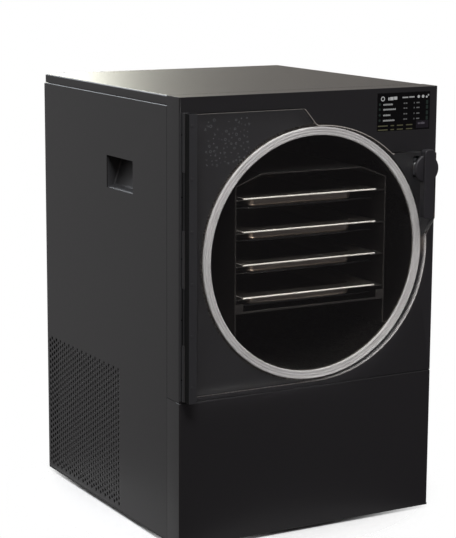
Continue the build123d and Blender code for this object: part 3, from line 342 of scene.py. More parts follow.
slot_finish = {
    made.__name__: made() for made in (
        powder_coated_steel, base_steel, foot_rubber, moulded_abs, filter_foam, chamber_steel, seal_silicone,
        insulating_foam, copper_tube, rack_steel, heater_plate, tray_steel, door_acrylic, hinge_steel,
        black_screw, pin_steel, handle_nylon, bush_nylon, latch_steel, display_glass, circuit_board,
        compressor_paint, aluminium_fins, galvanised_steel, fan_plastic, socket_plastic, stainless_fitting,
        valve_brass, lever_vinyl)}
edge_finish = acrylic_edge()
rim_highlight_finish = painted_rim_highlight()
cut_edge_finish = coated_edge()
hinge_shade_finish = painted_hinge_shade()
etch_finish = etched_acrylic()

slot_of = {row["node"]: row["material_slot"] for row in frame["record"]["subparts"]}
for name, node in nodes.items():        # each CAD part wears its slot's finish
    node.data.materials.clear()
    node.data.materials.append(slot_finish[slot_of[name]])


# ------------------------ making pieces

BREAK_ANGLE = math.radians(35)      # edges sharper than this are broken
FLAT_ANGLE = math.radians(0.3)      # a flat face's triangles lie this level
TOUCH = 0.001 * MM                  # points nearer than this are one
NEAR = 0.01 * MM                    # how well a point's place is known
CORNER_ANGLE = math.radians(60)     # faces that meet at more than this make a corner


def piece(name, bm, body, slot, materials=None, replaced=(), smooth=30):
    """A bmesh as an object that rides on a body, in its slot's finish where no other is given.

    Faces that meet at less than smooth degrees are shaded as one.
    """
    mesh = bpy.data.meshes.new(name)
    bm.to_mesh(mesh)
    bm.free()
    mesh.shade_smooth()
    mesh.set_sharp_from_angle(angle=math.radians(smooth))
    made = bpy.data.objects.new(name, mesh)
    bpy.context.scene.collection.objects.link(made)
    for material in materials or [slot_finish[slot]]:
        mesh.materials.append(material)
    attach(made, body)
    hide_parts(*replaced)
    return made


def rounded_edges(made, width, segments=2):
    """Break the sharp edges of a piece, as a press or a mould leaves them; the width is in millimetres."""
    edges = made.modifiers.new("rounded_edges", "BEVEL")
    edges.width = width * MM
    edges.segments = segments
    edges.limit_method = "ANGLE"
    edges.angle_limit = BREAK_ANGLE
    edges.harden_normals = True
    return made


def solid_of(node):
    """A merged copy of a CAD node's mesh, with its flat faces made whole."""
    bm = bmesh.new()
    bm.from_mesh(nodes[node].data)
    bmesh.ops.remove_doubles(bm, verts=bm.verts, dist=TOUCH)
    bmesh.ops.dissolve_limit(bm, angle_limit=FLAT_ANGLE, verts=bm.verts, edges=bm.edges)
    return bm


def dressed(node, width=0.3, segments=2, materials=None):
    """A CAD node's own form with its edges broken; the width is in millimetres."""
    made = piece(node + "_form", solid_of(node), nodes[node]["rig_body"], slot_of[node], materials,
                 replaced=[node])
    return rounded_edges(made, width, segments)


def closed_loop(bm, points):
    """A loop of edges through the points."""
    verts = [bm.verts.new(p) for p in points]
    return [bm.edges.new(pair) for pair in zip(verts, verts[1:] + verts[:1])]


def flat_face(bm, points):
    """One face through the points."""
    return bm.faces.new([bm.verts.new(p) for p in points])


def side_rectangle(x, y0, y1, z0, z1):
    """Corners of a rectangle that faces the side."""
    return [(x, y0, z0), (x, y1, z0), (x, y1, z1), (x, y0, z1)]


def level_rectangle(x0, x1, y0, y1, z):
    """Corners of a rectangle that lies level."""
    return [(x0, y0, z), (x1, y0, z), (x1, y1, z), (x0, y1, z)]


def open_edges(bm, test):
    """Open edges whose ends both pass the test."""
    return [e for e in bm.edges if e.is_boundary and all(test(v.co) for v in e.verts)]


def pull(bm, edges, move):
    """Extrude open edges by a move and return the new outer edges."""
    made = bmesh.ops.extrude_edge_only(bm, edges=edges)["geom"]
    ends = {g for g in made if isinstance(g, bmesh.types.BMVert)}
    bmesh.ops.translate(bm, verts=list(ends), vec=move)
    return [g for g in made if isinstance(g, bmesh.types.BMEdge) and set(g.verts) <= ends]


def round_off(bm, geom, radius, segments, affect="EDGES", material=-1):
    """Give edges, or the corners of a flat face, a round of this radius."""
    bmesh.ops.bevel(bm, geom=geom, offset=radius, affect=affect, segments=segments, profile=0.5,
                    material=material)


def whole(bm):
    """Merge what touches and turn every face of a closed shape outwards."""
    bmesh.ops.remove_doubles(bm, verts=bm.verts, dist=TOUCH)
    bmesh.ops.recalc_face_normals(bm, faces=bm.faces)
    return bm


def face_towards(bm, way):
    """Turn an open sheet's faces so that its largest one looks the given way."""
    bmesh.ops.recalc_face_normals(bm, faces=bm.faces)
    largest = max(bm.faces, key=lambda f: f.calc_area())
    if largest.normal.dot(Vector(way)) < 0:
        bmesh.ops.reverse_faces(bm, faces=bm.faces)
    return bm


def profile(points, start, way=1):
    """A section in metres from (radius, distance) in millimetres; the distance runs along y from start."""
    return [(r * MM, start + way * far * MM) for r, far in points]


def turned(bm, section, x, z, steps=48):
    """Spin a closed section of (radius, y) points about an axis that runs front to back."""
    edges = closed_loop(bm, [(x + r, y, z) for r, y in section])
    verts = [e.verts[0] for e in edges]
    bmesh.ops.spin(bm, geom=verts + edges, cent=(x, 0, z), axis=(0, 1, 0), angle=2 * math.pi, steps=steps,
                   use_merge=True)


def at(x, y, z):
    """The move to a place."""
    return Matrix.Translation((x, y, z))


def slab(bm, x, y, z, width, height, deep, lean=0.0):
    """An upright slab centred on x and z, whose front is at y; it leans by an angle."""
    size = Matrix.Diagonal((width, deep, height, 1))
    turn = Matrix.Rotation(lean, 4, "Y")
    bmesh.ops.create_cube(bm, size=1.0, matrix=at(x, y + deep / 2, z) @ turn @ size)


def disc(bm, x, y, z, radius, deep, sides=16):
    """An upright disc centred on x and z, whose front is at y."""
    facing = at(x, y + deep / 2, z) @ Matrix.Rotation(math.pi / 2, 4, "X")
    bmesh.ops.create_cone(bm, cap_ends=True, segments=sides, radius1=radius, radius2=radius, depth=deep,
                          matrix=facing)


def ring(bm, x, y, z, radius, width, deep, sides=20):
    """An upright flat ring centred on x and z, whose front is at y."""
    hole = radius - width
    turned(bm, [(hole, y), (radius, y), (radius, y + deep), (hole, y + deep)], x, z, sides)


# ------------------------ casing

SHEET = 1.2 * MM
FOLD = 2.0 * MM             # outside radius of the folds
LIP = 12.0 * MM             # width of the edges that are folded in
COVER_STEP = 1.4 * MM       # the cover's skirts stand in from the side panels
COVER_FRONT = 0.7 * MM      # the cover's front edge stands back, behind the fascia
COVER_FOLD = 3.2 * MM
HOLE_ROW = 9.6 * MM         # hole to hole, up the panel
HOLE_COLUMN = 8.6 * MM
HOLE_R = 2.75 * MM
VENT_FRONT = 1.0 * MM       # first column, behind the filter pad's front edge
VENT_BACK = 27.0 * MM       # last column, behind the pad's back edge
VENT_FOOT = 4.4 * MM        # lowest row, above the panel's lower edge
VENT_HEIGHT = 230.0 * MM
CUP_FLANGE = 2.0 * MM       # the hand opening is this much inside the cup's outline
CUP_BEHIND = 0.25 * MM      # the cup's mouth, behind the panel's face
CUP_LIP = 3.0 * MM          # depth of the lip that narrows the mouth
CUP_SILL = 2.2 * MM         # how far the lip rises at the bottom
CUP_HEAD = 0.8 * MM         # how far it comes down at the top
CUP_DEPTH = 11.0 * MM       # behind the lip, at the sill
CUP_REACH = 15.0 * MM       # how much deeper the cup is at its top
CUP_RISE = 2.0 * MM         # how far its floor rises
CUP_WALL = 1.5 * MM
CUP_FLOOR_ROUND = 3.0 * MM
CUP_LIP_ROUND = 1.4 * MM

panel_low, panel_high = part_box("left_side_panel")
grip_low, grip_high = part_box("left_grip_cup")
pad_low, pad_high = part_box("left_filter_pad")
cover_low, cover_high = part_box("top_cover")


def thicken(made, thickness=SHEET, cut_finish=0):
    """Give a sheet its thickness, on the inside; cut_finish counts on to the material of its cut edges."""
    wall = made.modifiers.new("sheet_thickness", "SOLIDIFY")
    wall.thickness = thickness
    wall.offset = -1
    wall.use_even_offset = True
    wall.material_offset_rim = cut_finish
    made.modifiers.new("flat_faces_stay_flat", "WEIGHTED_NORMAL").keep_sharp = True
    return made


def hole_cell(x):
    """One bay of the vent: a patch of sheet with a round hole, and points half way up its sides."""
    bm = bmesh.new()
    half = HOLE_ROW / 2
    edges = closed_loop(bm, [(x, 0, 0), (x, HOLE_COLUMN, 0), (x, HOLE_COLUMN, half),
                             (x, HOLE_COLUMN, HOLE_ROW), (x, 0, HOLE_ROW), (x, 0, half)])
    spot = at(x, HOLE_COLUMN / 2, half) @ Matrix.Rotation(math.pi / 2, 4, "Y")
    hole = bmesh.ops.create_circle(bm, segments=14, radius=HOLE_R, matrix=spot)["verts"]
    edges += list({e for v in hole for e in v.link_edges})
    bmesh.ops.triangle_fill(bm, edges=edges, use_beauty=True, normal=(-1, 0, 0))
    cell = bpy.data.meshes.new("hole_cell")
    bm.to_mesh(cell)
    bm.free()
    return cell


def vent_field(bm, x, y0, z0, columns, rows):
    """Round holes in columns; every other column is half a row higher, with plain halves at its ends."""
    cell = hole_cell(x)
    for column in range(columns):
        y = y0 + column * HOLE_COLUMN
        step = column % 2 * HOLE_ROW / 2
        for row in range(rows - column % 2):
            first = len(bm.verts)
            bm.from_mesh(cell)
            bm.verts.ensure_lookup_table()
            shift = Vector((0, y, z0 + step + row * HOLE_ROW))
            bmesh.ops.translate(bm, verts=bm.verts[first:], vec=shift)
        if step:
            for z in (z0, z0 + rows * HOLE_ROW - step):
                flat_face(bm, side_rectangle(x, y, y + HOLE_COLUMN, z, z + step))
    bpy.data.meshes.remove(cell)
    bmesh.ops.remove_doubles(bm, verts=bm.verts, dist=NEAR)


def hand_opening(x):
    """Corners of the opening in a side panel for the fingers."""
    return side_rectangle(x, grip_low.y + CUP_FLANGE, grip_high.y - CUP_FLANGE,
                          grip_low.z + CUP_FLANGE, grip_high.z - CUP_FLANGE)


def side_panel(node, side):
    """A side sheet with an even number of vent columns, a hand opening and a lip folded in at its top."""
    x = panel_low.x
    y0 = pad_low.y + VENT_FRONT
    z0 = panel_low.z + VENT_FOOT
    columns = 2 * round((pad_high.y + VENT_BACK - y0) / HOLE_COLUMN / 2)
    rows = round(VENT_HEIGHT / HOLE_ROW)
    bm = bmesh.new()
    vent_field(bm, x, y0, z0, columns, rows)
    edges = []
    for y in (y0, y0 + columns * HOLE_COLUMN):
        edges += open_edges(bm, lambda p: abs(p.y - y) < NEAR)
    for z in (z0, z0 + rows * HOLE_ROW):
        edges += open_edges(bm, lambda p: abs(p.z - z) < NEAR)
    edges += closed_loop(bm, side_rectangle(x, cover_low.y, panel_high.y, panel_low.z, panel_high.z))
    edges += closed_loop(bm, hand_opening(x))
    bmesh.ops.triangle_fill(bm, edges=edges, use_beauty=True, normal=(-1, 0, 0))
    top = open_edges(bm, lambda p: p.z > panel_high.z - NEAR)
    pull(bm, top, (LIP, 0, 0))
    round_off(bm, top, FOLD, 4)
    bmesh.ops.remove_doubles(bm, verts=bm.verts, dist=TOUCH)
    bmesh.ops.scale(bm, vec=(side, 1, 1), verts=bm.verts)
    sheet = piece(node + "_sheet", face_towards(bm, (-side, 0, 0)), "cabinet", "powder_coated_steel",
                  [slot_finish["powder_coated_steel"], cut_edge_finish], replaced=[node], smooth=40)
    return thicken(sheet, cut_finish=1)


def top_cover():
    """A lid folded down at both sides and the back."""
    bm = bmesh.new()
    flat_face(bm, level_rectangle(cover_low.x + COVER_STEP, cover_high.x - COVER_STEP,
                                  cover_low.y + COVER_FRONT, cover_high.y, cover_high.z))
    folds = [e for e in bm.edges if any(v.co.y > cover_low.y + MM for v in e.verts)]
    pull(bm, folds, (0, 0, cover_low.z - cover_high.z))
    round_off(bm, [e for e in bm.edges if not e.is_boundary], COVER_FOLD, 5)
    return thicken(piece("top_cover_sheet", face_towards(bm, (0, 0, 1)), "cabinet", "powder_coated_steel",
                         replaced=["top_cover"], smooth=40))


def lower_front():
    """A sheet that wraps round both sides, with its top edge folded in."""
    low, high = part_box("lower_front_panel")
    bm = bmesh.new()
    flat_face(bm, [(low.x, low.y, low.z), (high.x, low.y, low.z), (high.x, low.y, high.z),
                   (low.x, low.y, high.z)])
    outline = [e for e in bm.edges if any(v.co.z > low.z + MM for v in e.verts)]
    outline = pull(bm, outline, (0, LIP, 0))
    sides = [e for e in outline if abs(e.verts[0].co.x - e.verts[1].co.x) < MM]
    pull(bm, sides, (0, high.y - low.y - LIP, 0))
    folds = [e for e in bm.edges if not e.is_boundary and e.calc_face_angle(0) > CORNER_ANGLE]
    round_off(bm, folds, FOLD, 4)
    return thicken(piece("lower_front_sheet", face_towards(bm, (0, -1, 0)), "cabinet",
                         "powder_coated_steel", replaced=["lower_front_panel"], smooth=40))


def grip_cup(node, side):
    """A moulded pocket behind the hand opening, deeper at the top, with a rounded lip round its mouth."""
    middle = (grip_low.z + grip_high.z) / 2
    bm = bmesh.new()
    mouth = closed_loop(bm, hand_opening(panel_low.x + CUP_BEHIND))
    lip = pull(bm, mouth, (CUP_LIP, 0, 0))
    for v in {v for e in lip for v in e.verts}:
        v.co.z += CUP_SILL if v.co.z < middle else -CUP_HEAD
    bottom = pull(bm, lip, (CUP_DEPTH, 0, 0))
    for v in {v for e in bottom for v in e.verts}:
        if v.co.z > middle:
            v.co.x += CUP_REACH
        else:
            v.co.z += CUP_RISE
    bmesh.ops.edgeloop_fill(bm, edges=bottom)
    round_off(bm, bottom, CUP_FLOOR_ROUND, 3)
    round_off(bm, lip, CUP_LIP_ROUND, 3)
    bmesh.ops.scale(bm, vec=(side, 1, 1), verts=bm.verts)
    moulding = piece(node + "_moulding", face_towards(bm, (-side, 0, 0)), "cabinet", "moulded_abs",
                     replaced=[node], smooth=50)
    return thicken(moulding, CUP_WALL)


side_panel("left_side_panel", 1)
side_panel("right_side_panel", -1)
top_cover()
for node in ("front_fascia", "rear_panel", "base_pan"):
    dressed(node, 0.4)
lower_front()
grip_cup("left_grip_cup", 1)
grip_cup("right_grip_cup", -1)


# ------------------------ chamber, rack and seal

SEAL_IN = 1.6 * MM          # the ring's outside, inside its solid's
SEAL_WIDTH = 12.4 * MM
SEAL_SHIFT = 1.0 * MM       # the ring sits this much to the right and down
SEAL_GROOVE = 0.25 * MM
SEAL_CORNER = 0.6 * MM

seal_low, seal_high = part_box("door_seal")
AXIS = (seal_low.z + seal_high.z) / 2       # height of the chamber's middle


def door_seal():
    """A moulded ring with two fine grooves round its face."""
    face, back = seal_low.y, seal_high.y
    outer = (seal_high.x - seal_low.x) / 2 - SEAL_IN
    inner = outer - SEAL_WIDTH
    section = [(inner, back), (inner, face + SEAL_CORNER), (inner + SEAL_CORNER, face)]
    for share in (1 / 3, 2 / 3):
        r = inner + share * SEAL_WIDTH
        section += [(r - SEAL_GROOVE, face), (r, face + SEAL_GROOVE), (r + SEAL_GROOVE, face)]
    section += [(outer - SEAL_CORNER, face), (outer, face + SEAL_CORNER), (outer, back)]
    bm = bmesh.new()
    turned(bm, section, SEAL_SHIFT, AXIS - SEAL_SHIFT, 160)
    return piece("door_seal_ring", whole(bm), "cabinet", "seal_silicone", replaced=["door_seal"], smooth=50)


piece("chamber_drum_form", solid_of("chamber_drum"), "cabinet", "chamber_steel", replaced=["chamber_drum"])
# the heater shelves wear the heater plate finish, whose near-black is painted shade
for node in ("rack_frame", "heater_shelf_1", "heater_shelf_2", "heater_shelf_3", "heater_shelf_4"):
    dressed(node, 0.3)
door_seal()


# ------------------------ trays

TRAY_RIM = 25.0 * MM
TRAY_END = 29.0 * MM        # rim at the front and the back
TRAY_SHEET = 0.8 * MM
TRAY_CORNER = 15.0 * MM     # the pan's corners, seen from above
RIM_CORNER = 4.0 * MM
RIM_LIP = 2.2 * MM
RIM_HIGHLIGHT_WIDTH = 0.9 * MM       # width of the rim's outer edge that carries the painted highlight
RIM_BEND = 1.0 * MM
MOUTH_BEND = 1.5 * MM
FOOT_BEND = 5.0 * MM


def rounded_loop(bm, x0, x1, y0, y1, z, corner):
    """A level loop of edges with rounded corners."""
    before = set(bm.edges)
    face = flat_face(bm, level_rectangle(x0, x1, y0, y1, z))
    round_off(bm, list(face.verts), corner, 6, affect="VERTICES")
    bmesh.ops.delete(bm, geom=list(bm.faces), context="FACES_ONLY")
    return [e for e in bm.edges if e not in before]


def tray(n):
    """A drawn pan whose rim is turned down all round; the rim's outside, but for its sides, carries a painted
    highlight.
    """
    low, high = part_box(f"tray_{n}")
    top = high.z
    wall = TRAY_RIM + TRAY_SHEET
    end = TRAY_END + TRAY_SHEET
    bm = bmesh.new()
    mouth = rounded_loop(bm, low.x + wall, high.x - wall, low.y + end, high.y - end, top, TRAY_CORNER)
    rim = rounded_loop(bm, low.x, high.x, low.y, high.y, top, RIM_CORNER)
    bmesh.ops.bridge_loops(bm, edges=mouth + rim)
    pull(bm, rim, (0, 0, -RIM_LIP))
    foot = pull(bm, mouth, (0, 0, low.z + TRAY_SHEET - top))
    bmesh.ops.edgeloop_fill(bm, edges=foot)
    round_off(bm, rim, RIM_BEND, 3)
    round_off(bm, mouth, MOUTH_BEND, 3)
    round_off(bm, foot, FOOT_BEND, 5)
    face_towards(bm, (0, 0, 1))
    # the rim's front and back edges take the bright painted highlight finish
    for face in bm.faces:
        middle = face.calc_center_median()
        inside = min(middle.x - low.x, high.x - middle.x, middle.y - low.y, high.y - middle.y)
        face.material_index = int(inside < RIM_HIGHLIGHT_WIDTH and abs(face.normal.x) < 0.7)
    pressing = piece(f"tray_{n}_pressing", bm, "cabinet", "tray_steel",
                     [slot_finish["tray_steel"], rim_highlight_finish], replaced=[f"tray_{n}"], smooth=50)
    return thicken(pressing, TRAY_SHEET)


for n in range(1, 5):
    tray(n)


# ------------------------ door, hinge and latch

DOOR_OUT = Vector((1.6, 0, -1.4)) * MM      # how far the round edge runs out, at its right end
DOOR_ROUND_NEAR = 0.5 * MM  # points this near the round edge's arc lie on it
DOOR_TOP_BREAK = 0.3 * MM
DOOR_ROUND_BREAK = 1.5 * MM
LEVER_ABOVE = 30.0 * MM     # lever's top above the shaft
LEVER_SHIFT = 2.0 * MM      # the lever's grip, to the right of the shaft
LEVER_WIDTH = 19.0 * MM
LEVER_DEPTH = 13.0 * MM
LEVER_CORNER = 6.0 * MM


def clear_door():
    """A clear plate whose front edge is broken all round, but hardly at its straight top."""
    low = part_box("door_panel")[0]
    round_r = AXIS - low.z
    bm = solid_of("door_panel")
    for v in bm.verts:
        if v.co.x > 0 and abs(math.hypot(v.co.x, v.co.z - AXIS) - round_r) < DOOR_ROUND_NEAR:
            v.co += DOOR_OUT * v.co.x / round_r
    front = [e for e in bm.edges if all(abs(v.co.y - low.y) < NEAR for v in e.verts)
             and e.calc_face_angle(0) > CORNER_ANGLE]
    level = [e for e in front if abs(e.verts[0].co.z - e.verts[1].co.z) < NEAR
             and e.verts[0].co.z > AXIS + round_r / 2]
    others = [e for e in front if e not in level]
    # broken edges take material 1, the milky painted highlight
    round_off(bm, level, DOOR_TOP_BREAK, 2, material=1)        # this also rebuilds some of the others
    round_off(bm, [e for e in others if e.is_valid], DOOR_ROUND_BREAK, 2, material=1)
    made = piece("door_plate", bm, "door", "door_acrylic", [slot_finish["door_acrylic"], edge_finish],
                 replaced=["door_panel"], smooth=15)
    made.visible_shadow = False         # clear acrylic lets the lamps through
    return made


def hinge_leaf():
    """The door's own leaf, black and brushed; its left side is painted near-black as shade."""
    made = dressed("hinge_door_leaf", 1.1, 3, [slot_finish["hinge_steel"], hinge_shade_finish])
    for face in made.data.polygons:
        # faces that look left wear the painted shade
        face.material_index = int(face.normal.x < -0.9)
    return made


def latch_handle():
    """A moulded lever over a domed hub that narrows towards the door."""
    low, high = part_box("latch_handle")
    x = (low.x + high.x) / 2
    hub = [(0, 13.5), (20, 13.5), (21.4, 13.0), (22, 11.6), (22, 9.5), (13, 3.5), (8.5, 2), (8.5, 0), (0, 0)]
    bm = bmesh.new()
    turned(bm, profile(hub, high.y, -1), x, high.z - LEVER_ABOVE)
    piece("latch_hub", whole(bm), "latch", "handle_nylon", replaced=["latch_handle"], smooth=50)
    bm = bmesh.new()
    slab(bm, x + LEVER_SHIFT, low.y, (low.z + high.z) / 2, LEVER_WIDTH, high.z - low.z, LEVER_DEPTH)
    corners = [e for e in bm.edges if abs(e.verts[0].co.y - e.verts[1].co.y) > MM]
    round_off(bm, corners, LEVER_CORNER, 6)
    bmesh.ops.recalc_face_normals(bm, faces=bm.faces)
    return rounded_edges(piece("latch_grip", bm, "latch", "handle_nylon", smooth=50), 1.5, 4)


clear_door()
dressed("hinge_frame_leaf", 0.5)
dressed("hinge_clamp_screws", 0.2, materials=[slot_finish["hinge_steel"]])
hinge_leaf()
dressed("latch_cam", 0.3)
dressed("latch_strike", 0.3)
latch_handle()


# ------------------------ back, underside and inside

VALVE_R = 11.0 * MM         # hexagons and ball
HEXAGON = 9.0 * MM          # length of each hexagon
HEXAGON_STEP = 31.0 * MM    # from one hexagon to the other
STEM_R = 6.0 * MM
STEM_BACK = 20.0 * MM       # stem's middle, from the valve's front
PAD_R = 15.0 * MM
PAD_FOOT_R = 13.4 * MM      # on the floor
SCREW_R = 4.0 * MM
SCREW_DOME = 1.8 * MM
SCREW_ROWS = 4
FIN = 0.3 * MM
FIN_PITCH = 2.6 * MM
END_PLATE = 1.2 * MM
TUBES = 8
TUBE_R = 3.5 * MM


def vacuum_flange():
    """A clamp flange with a tapered back and a groove for its centring ring."""
    low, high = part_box("vacuum_port")
    tube = profile([(12.5, 0), (14, 0)], low.y)
    flange = profile([(14, -4.6), (19.3, -3.1), (20, -2.5), (20, -0.4), (19.6, 0), (15.6, 0), (15.2, -0.7),
                      (13.9, -0.7), (13.5, 0), (12.9, 0), (12.5, -0.4)], high.y)
    bm = bmesh.new()
    turned(bm, tube + flange, (low.x + high.x) / 2, (low.z + high.z) / 2, 64)
    return piece("vacuum_flange", whole(bm), "cabinet", "stainless_fitting", replaced=["vacuum_port"],
                 smooth=40)


def drain_valve():
    """A ball valve between two hexagons, with a barbed spigot and a boss for its stem."""
    low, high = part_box("drain_valve_body")
    x = (low.x + high.x) / 2
    z = low.z + VALVE_R
    ball = [(6, 8), (8.6, 8), (9.2, 10), (10.6, 14), (11, 18), (11, 22), (10.6, 26), (9.2, 30), (8.6, 32),
            (6, 32)]
    barbs = [(4.5, 38), (6, 38), (6, 42), (5.2, 42.6), (6, 46), (5.2, 46.6), (6, 50), (5.2, 50.6), (6, 54),
             (5.4, 57.6), (5, 58), (4.5, 58)]
    bm = bmesh.new()
    for front in (low.y, low.y + HEXAGON_STEP):
        disc(bm, x, front, z, VALVE_R, HEXAGON, 6)
    for section in (ball, barbs):
        turned(bm, profile(section, low.y), x, z, 32)
    stem = high.z - z
    bmesh.ops.create_cone(bm, cap_ends=True, segments=24, radius1=STEM_R, radius2=STEM_R, depth=stem,
                          matrix=at(x, low.y + STEM_BACK, z + stem / 2))
    forging = piece("drain_valve_forging", whole(bm), "cabinet", "valve_brass", replaced=["drain_valve_body"],
                    smooth=40)
    return rounded_edges(forging, 0.3)


def pads():
    """Round rubber feet that narrow towards the floor."""
    low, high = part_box("feet")
    bm = bmesh.new()
    for x in (low.x + PAD_R, high.x - PAD_R):
        for y in (low.y + PAD_R, high.y - PAD_R):
            bmesh.ops.create_cone(bm, cap_ends=True, segments=48, radius1=PAD_FOOT_R, radius2=PAD_R,
                                  depth=high.z - low.z, matrix=at(x, y, (low.z + high.z) / 2))
    return rounded_edges(piece("foot_pads", bm, "cabinet", "foot_rubber", replaced=["feet"]), 0.7, 3)


def rear_screws():
    """Dome-headed screws with a round recess, up both sides of the rear panel."""
    low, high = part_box("panel_screws")
    section = profile([(0, -6), (2, -6), (2, 0), (4, 0), (4, 0.5), (3.4, 1.2), (2.5, 1.65), (1.6, 1.8),
                       (1.4, 0.6), (0, 0.6)], high.y - SCREW_DOME)
    span = high.z - low.z - 2 * SCREW_R
    bm = bmesh.new()
    for x in (low.x + SCREW_R, high.x - SCREW_R):
        for row in range(SCREW_ROWS):
            turned(bm, section, x, low.z + SCREW_R + span * row / (SCREW_ROWS - 1), 24)
    return piece("rear_screws", whole(bm), "cabinet", "black_screw", replaced=["panel_screws"], smooth=40)


def condenser_pack():
    """Thin fins pressed on copper tubes, between two end plates."""
    low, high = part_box("condenser_coil")
    size = high - low
    x, z = low.x + size.x / 2, low.z + size.z / 2
    last = round(size.y / FIN_PITCH)
    bm = bmesh.new()
    for n in range(last + 1):
        thick = END_PLATE if n in (0, last) else FIN
        slab(bm, x, low.y + (size.y - thick) * n / last, z, size.x, size.z, thick)
    fins = len(bm.faces)
    for n in range(TUBES):
        disc(bm, x, low.y, low.z + size.z * (n + 1) / (TUBES + 1), TUBE_R, size.y)
    bm.faces.ensure_lookup_table()
    for face in bm.faces[fins:]:
        face.material_index = 1
    return piece("condenser_pack", bm, "cabinet", "aluminium_fins",
                 [slot_finish["aluminium_fins"], slot_finish["copper_tube"]],
                 replaced=["condenser_coil"], smooth=40)


def control_board():
    """A circuit board and the black plastic parts that stand on its left face."""
    low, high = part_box("control_board")
    made = dressed("control_board", 0.2, materials=[slot_finish["circuit_board"], slot_finish["moulded_abs"]])
    for face in made.data.polygons:
        face.material_index = int(face.center.x < low.x + (high.x - low.x) / 2)
    return made


vacuum_flange()
drain_valve()
pads()
rear_screws()
condenser_pack()
control_board()
for node, width in (("power_inlet", 0.4), ("pump_outlet", 0.4), ("switch_body", 0.4), ("switch_rocker", 0.5),
                    ("drain_valve_handle", 0.6), ("drain_pipe", 0.2), ("fan_blades", 0.5),
                    ("fan_motor", 0.5), ("fan_shroud", 0.4), ("compressor", 1.0),
                    ("compressor_grommets", 0.8), ("power_supply", 0.6), ("chamber_cradle", 0.4),
                    ("display_glass", 0.3), ("display_board", 0.2), ("hinge_pin", 0.4), ("latch_bush", 0.8),
                    ("latch_shaft", 0.3), ("feedthrough", 0.4)):
    dressed(node, width)


# ------------------------ display

SCREEN_EDGE = 2.5 * MM      # bare glass round what the screen shows
LIT_DEEP = 0.1 * MM         # half of it stands out of the glass
BOX_BEHIND = 0.02 * MM      # the violet box lies under its bars
ROWS = (0.30, 0.43, 0.58, 0.72)             # middles of its lines, as shares of its height from the top
LINE_ENDS = (0.29, 0.35, 0.25, 0.33)        # shares of its width from the left, as are the next three
LINE_START = 0.11
DASH_STEP = 0.02
DASH = 0.015


def display():
    """What the screen shows, as thin lit shapes, placed by shares of its width and height."""
    low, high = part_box("display_glass")
    left, top = low.x + SCREEN_EDGE, high.z - SCREEN_EDGE
    width = high.x - low.x - 2 * SCREEN_EDGE
    height = high.z - low.z - 2 * SCREEN_EDGE
    front = low.y - LIT_DEEP / 2

    def spot(u, v):
        """A place on the screen, from its left and its top."""
        return left + u * width, front, top - v * height

    def shapes(name, code, strength, boxes, discs=(), rings=(), behind=0.0):
        """Shapes of one colour; the radii of discs and rings are in millimetres."""
        bm = bmesh.new()
        for u0, u1, v0, v1 in boxes:
            x, y, z = spot((u0 + u1) / 2, (v0 + v1) / 2)
            slab(bm, x, y + behind, z, (u1 - u0) * width, (v1 - v0) * height, LIT_DEEP)
        for u, v, r in discs:
            disc(bm, *spot(u, v), r * MM, LIT_DEEP)
        for u, v, r, wide in rings:
            ring(bm, *spot(u, v), r * MM, wide * MM, LIT_DEEP)
        return piece("display_" + name, whole(bm), "cabinet", "display_glass",
                     [lit_segments(name, code, strength)])

    shapes("bright_shapes", "c4c4c4", 0.6,
           [(0.20, 0.225, 0.115, 0.19), (0.235, 0.30, 0.105, 0.19), (0.31, 0.37, 0.10, 0.18)],
           [(0.78, 0.125, 2.3), (0.865, 0.125, 2.4), (0.935, 0.14, 1.7)], [(0.10, 0.145, 3.7, 1.4)])
    white = [(0.47, 0.58, 0.115, 0.15), (0.60, 0.70, 0.11, 0.145), (0.955, 0.98, 0.07, 0.115)]
    for v, end in zip(ROWS, LINE_ENDS):
        for n in range(round((end - LINE_START) / DASH_STEP)):
            u = LINE_START + DASH_STEP * n
            white.append((u, u + DASH, v - (0.024 if n % 2 else 0.018), v + 0.02))
    shapes("white_bars", "b4b4b4", 0.55, white)
    grey = []
    for v in ROWS:
        for u0, u1, half in ((0.495, 0.525, 0.016), (0.535, 0.565, 0.016), (0.69, 0.705, 0.02),
                             (0.74, 0.80, 0.016)):
            grey.append((u0, u1, v - 0.015 - half, v - 0.015 + half))
    shapes("grey_bars", "747474", 0.5, grey)
    shapes("green_marks", "1c2c26", 0.5, [(0.925, 0.965, v - 0.07, v + 0.03) for v in ROWS],
           [(0.045, v - 0.01, 2.0) for v in ROWS])
    yellow = [(u0, u1, v - 0.014, v + 0.014) for v in (0.86, 0.965)
              for u0, u1 in ((0.015, 0.20), (0.255, 0.32), (0.375, 0.49), (0.55, 0.67))]
    shapes("yellow_bars", "5c5a42", 0.55, yellow)
    shapes("lilac_bars", "56525a", 0.65, [(0.775, 0.815, 0.815, 0.86), (0.825, 0.905, 0.81, 0.86)])
    shapes("box", "120a17", 0.4, [(0.74, 0.98, 0.76, 0.96)], behind=BOX_BEHIND)


display()


# ------------------------ etched marks

ETCH_ACROSS = (-198, -124)  # millimetres, as are the other sizes of the marks
ETCH_UP = (590, 658)
ETCH_CLEAR = 205            # no mark is nearer to the chamber's middle
ETCH_GAP = 5.2              # from mark to mark
ETCH_SIZE = (0.5, 1.3)
ETCH_RING = 0.8             # how much larger a ring's radius is than its size
ETCH_LINE = 0.5             # width of a ring's line
ETCH_DASH = 0.55            # width of a dash
ETCH_STEP = 1.4             # from dash to dash
ETCH_START = 0.7            # steps by which a row of dashes begins before its place
ETCH_LONG = 1.4             # first dash's length, in sizes; each next one is a size longer
ETCH_DOT = 0.8              # a dot's radius, in sizes
ETCH_MARKS = 76
ETCH_TRIES = 900
ETCH_DEEP = 0.06 * MM
ETCH_PROUD = 0.04 * MM      # the marks stand this much out of the door's face


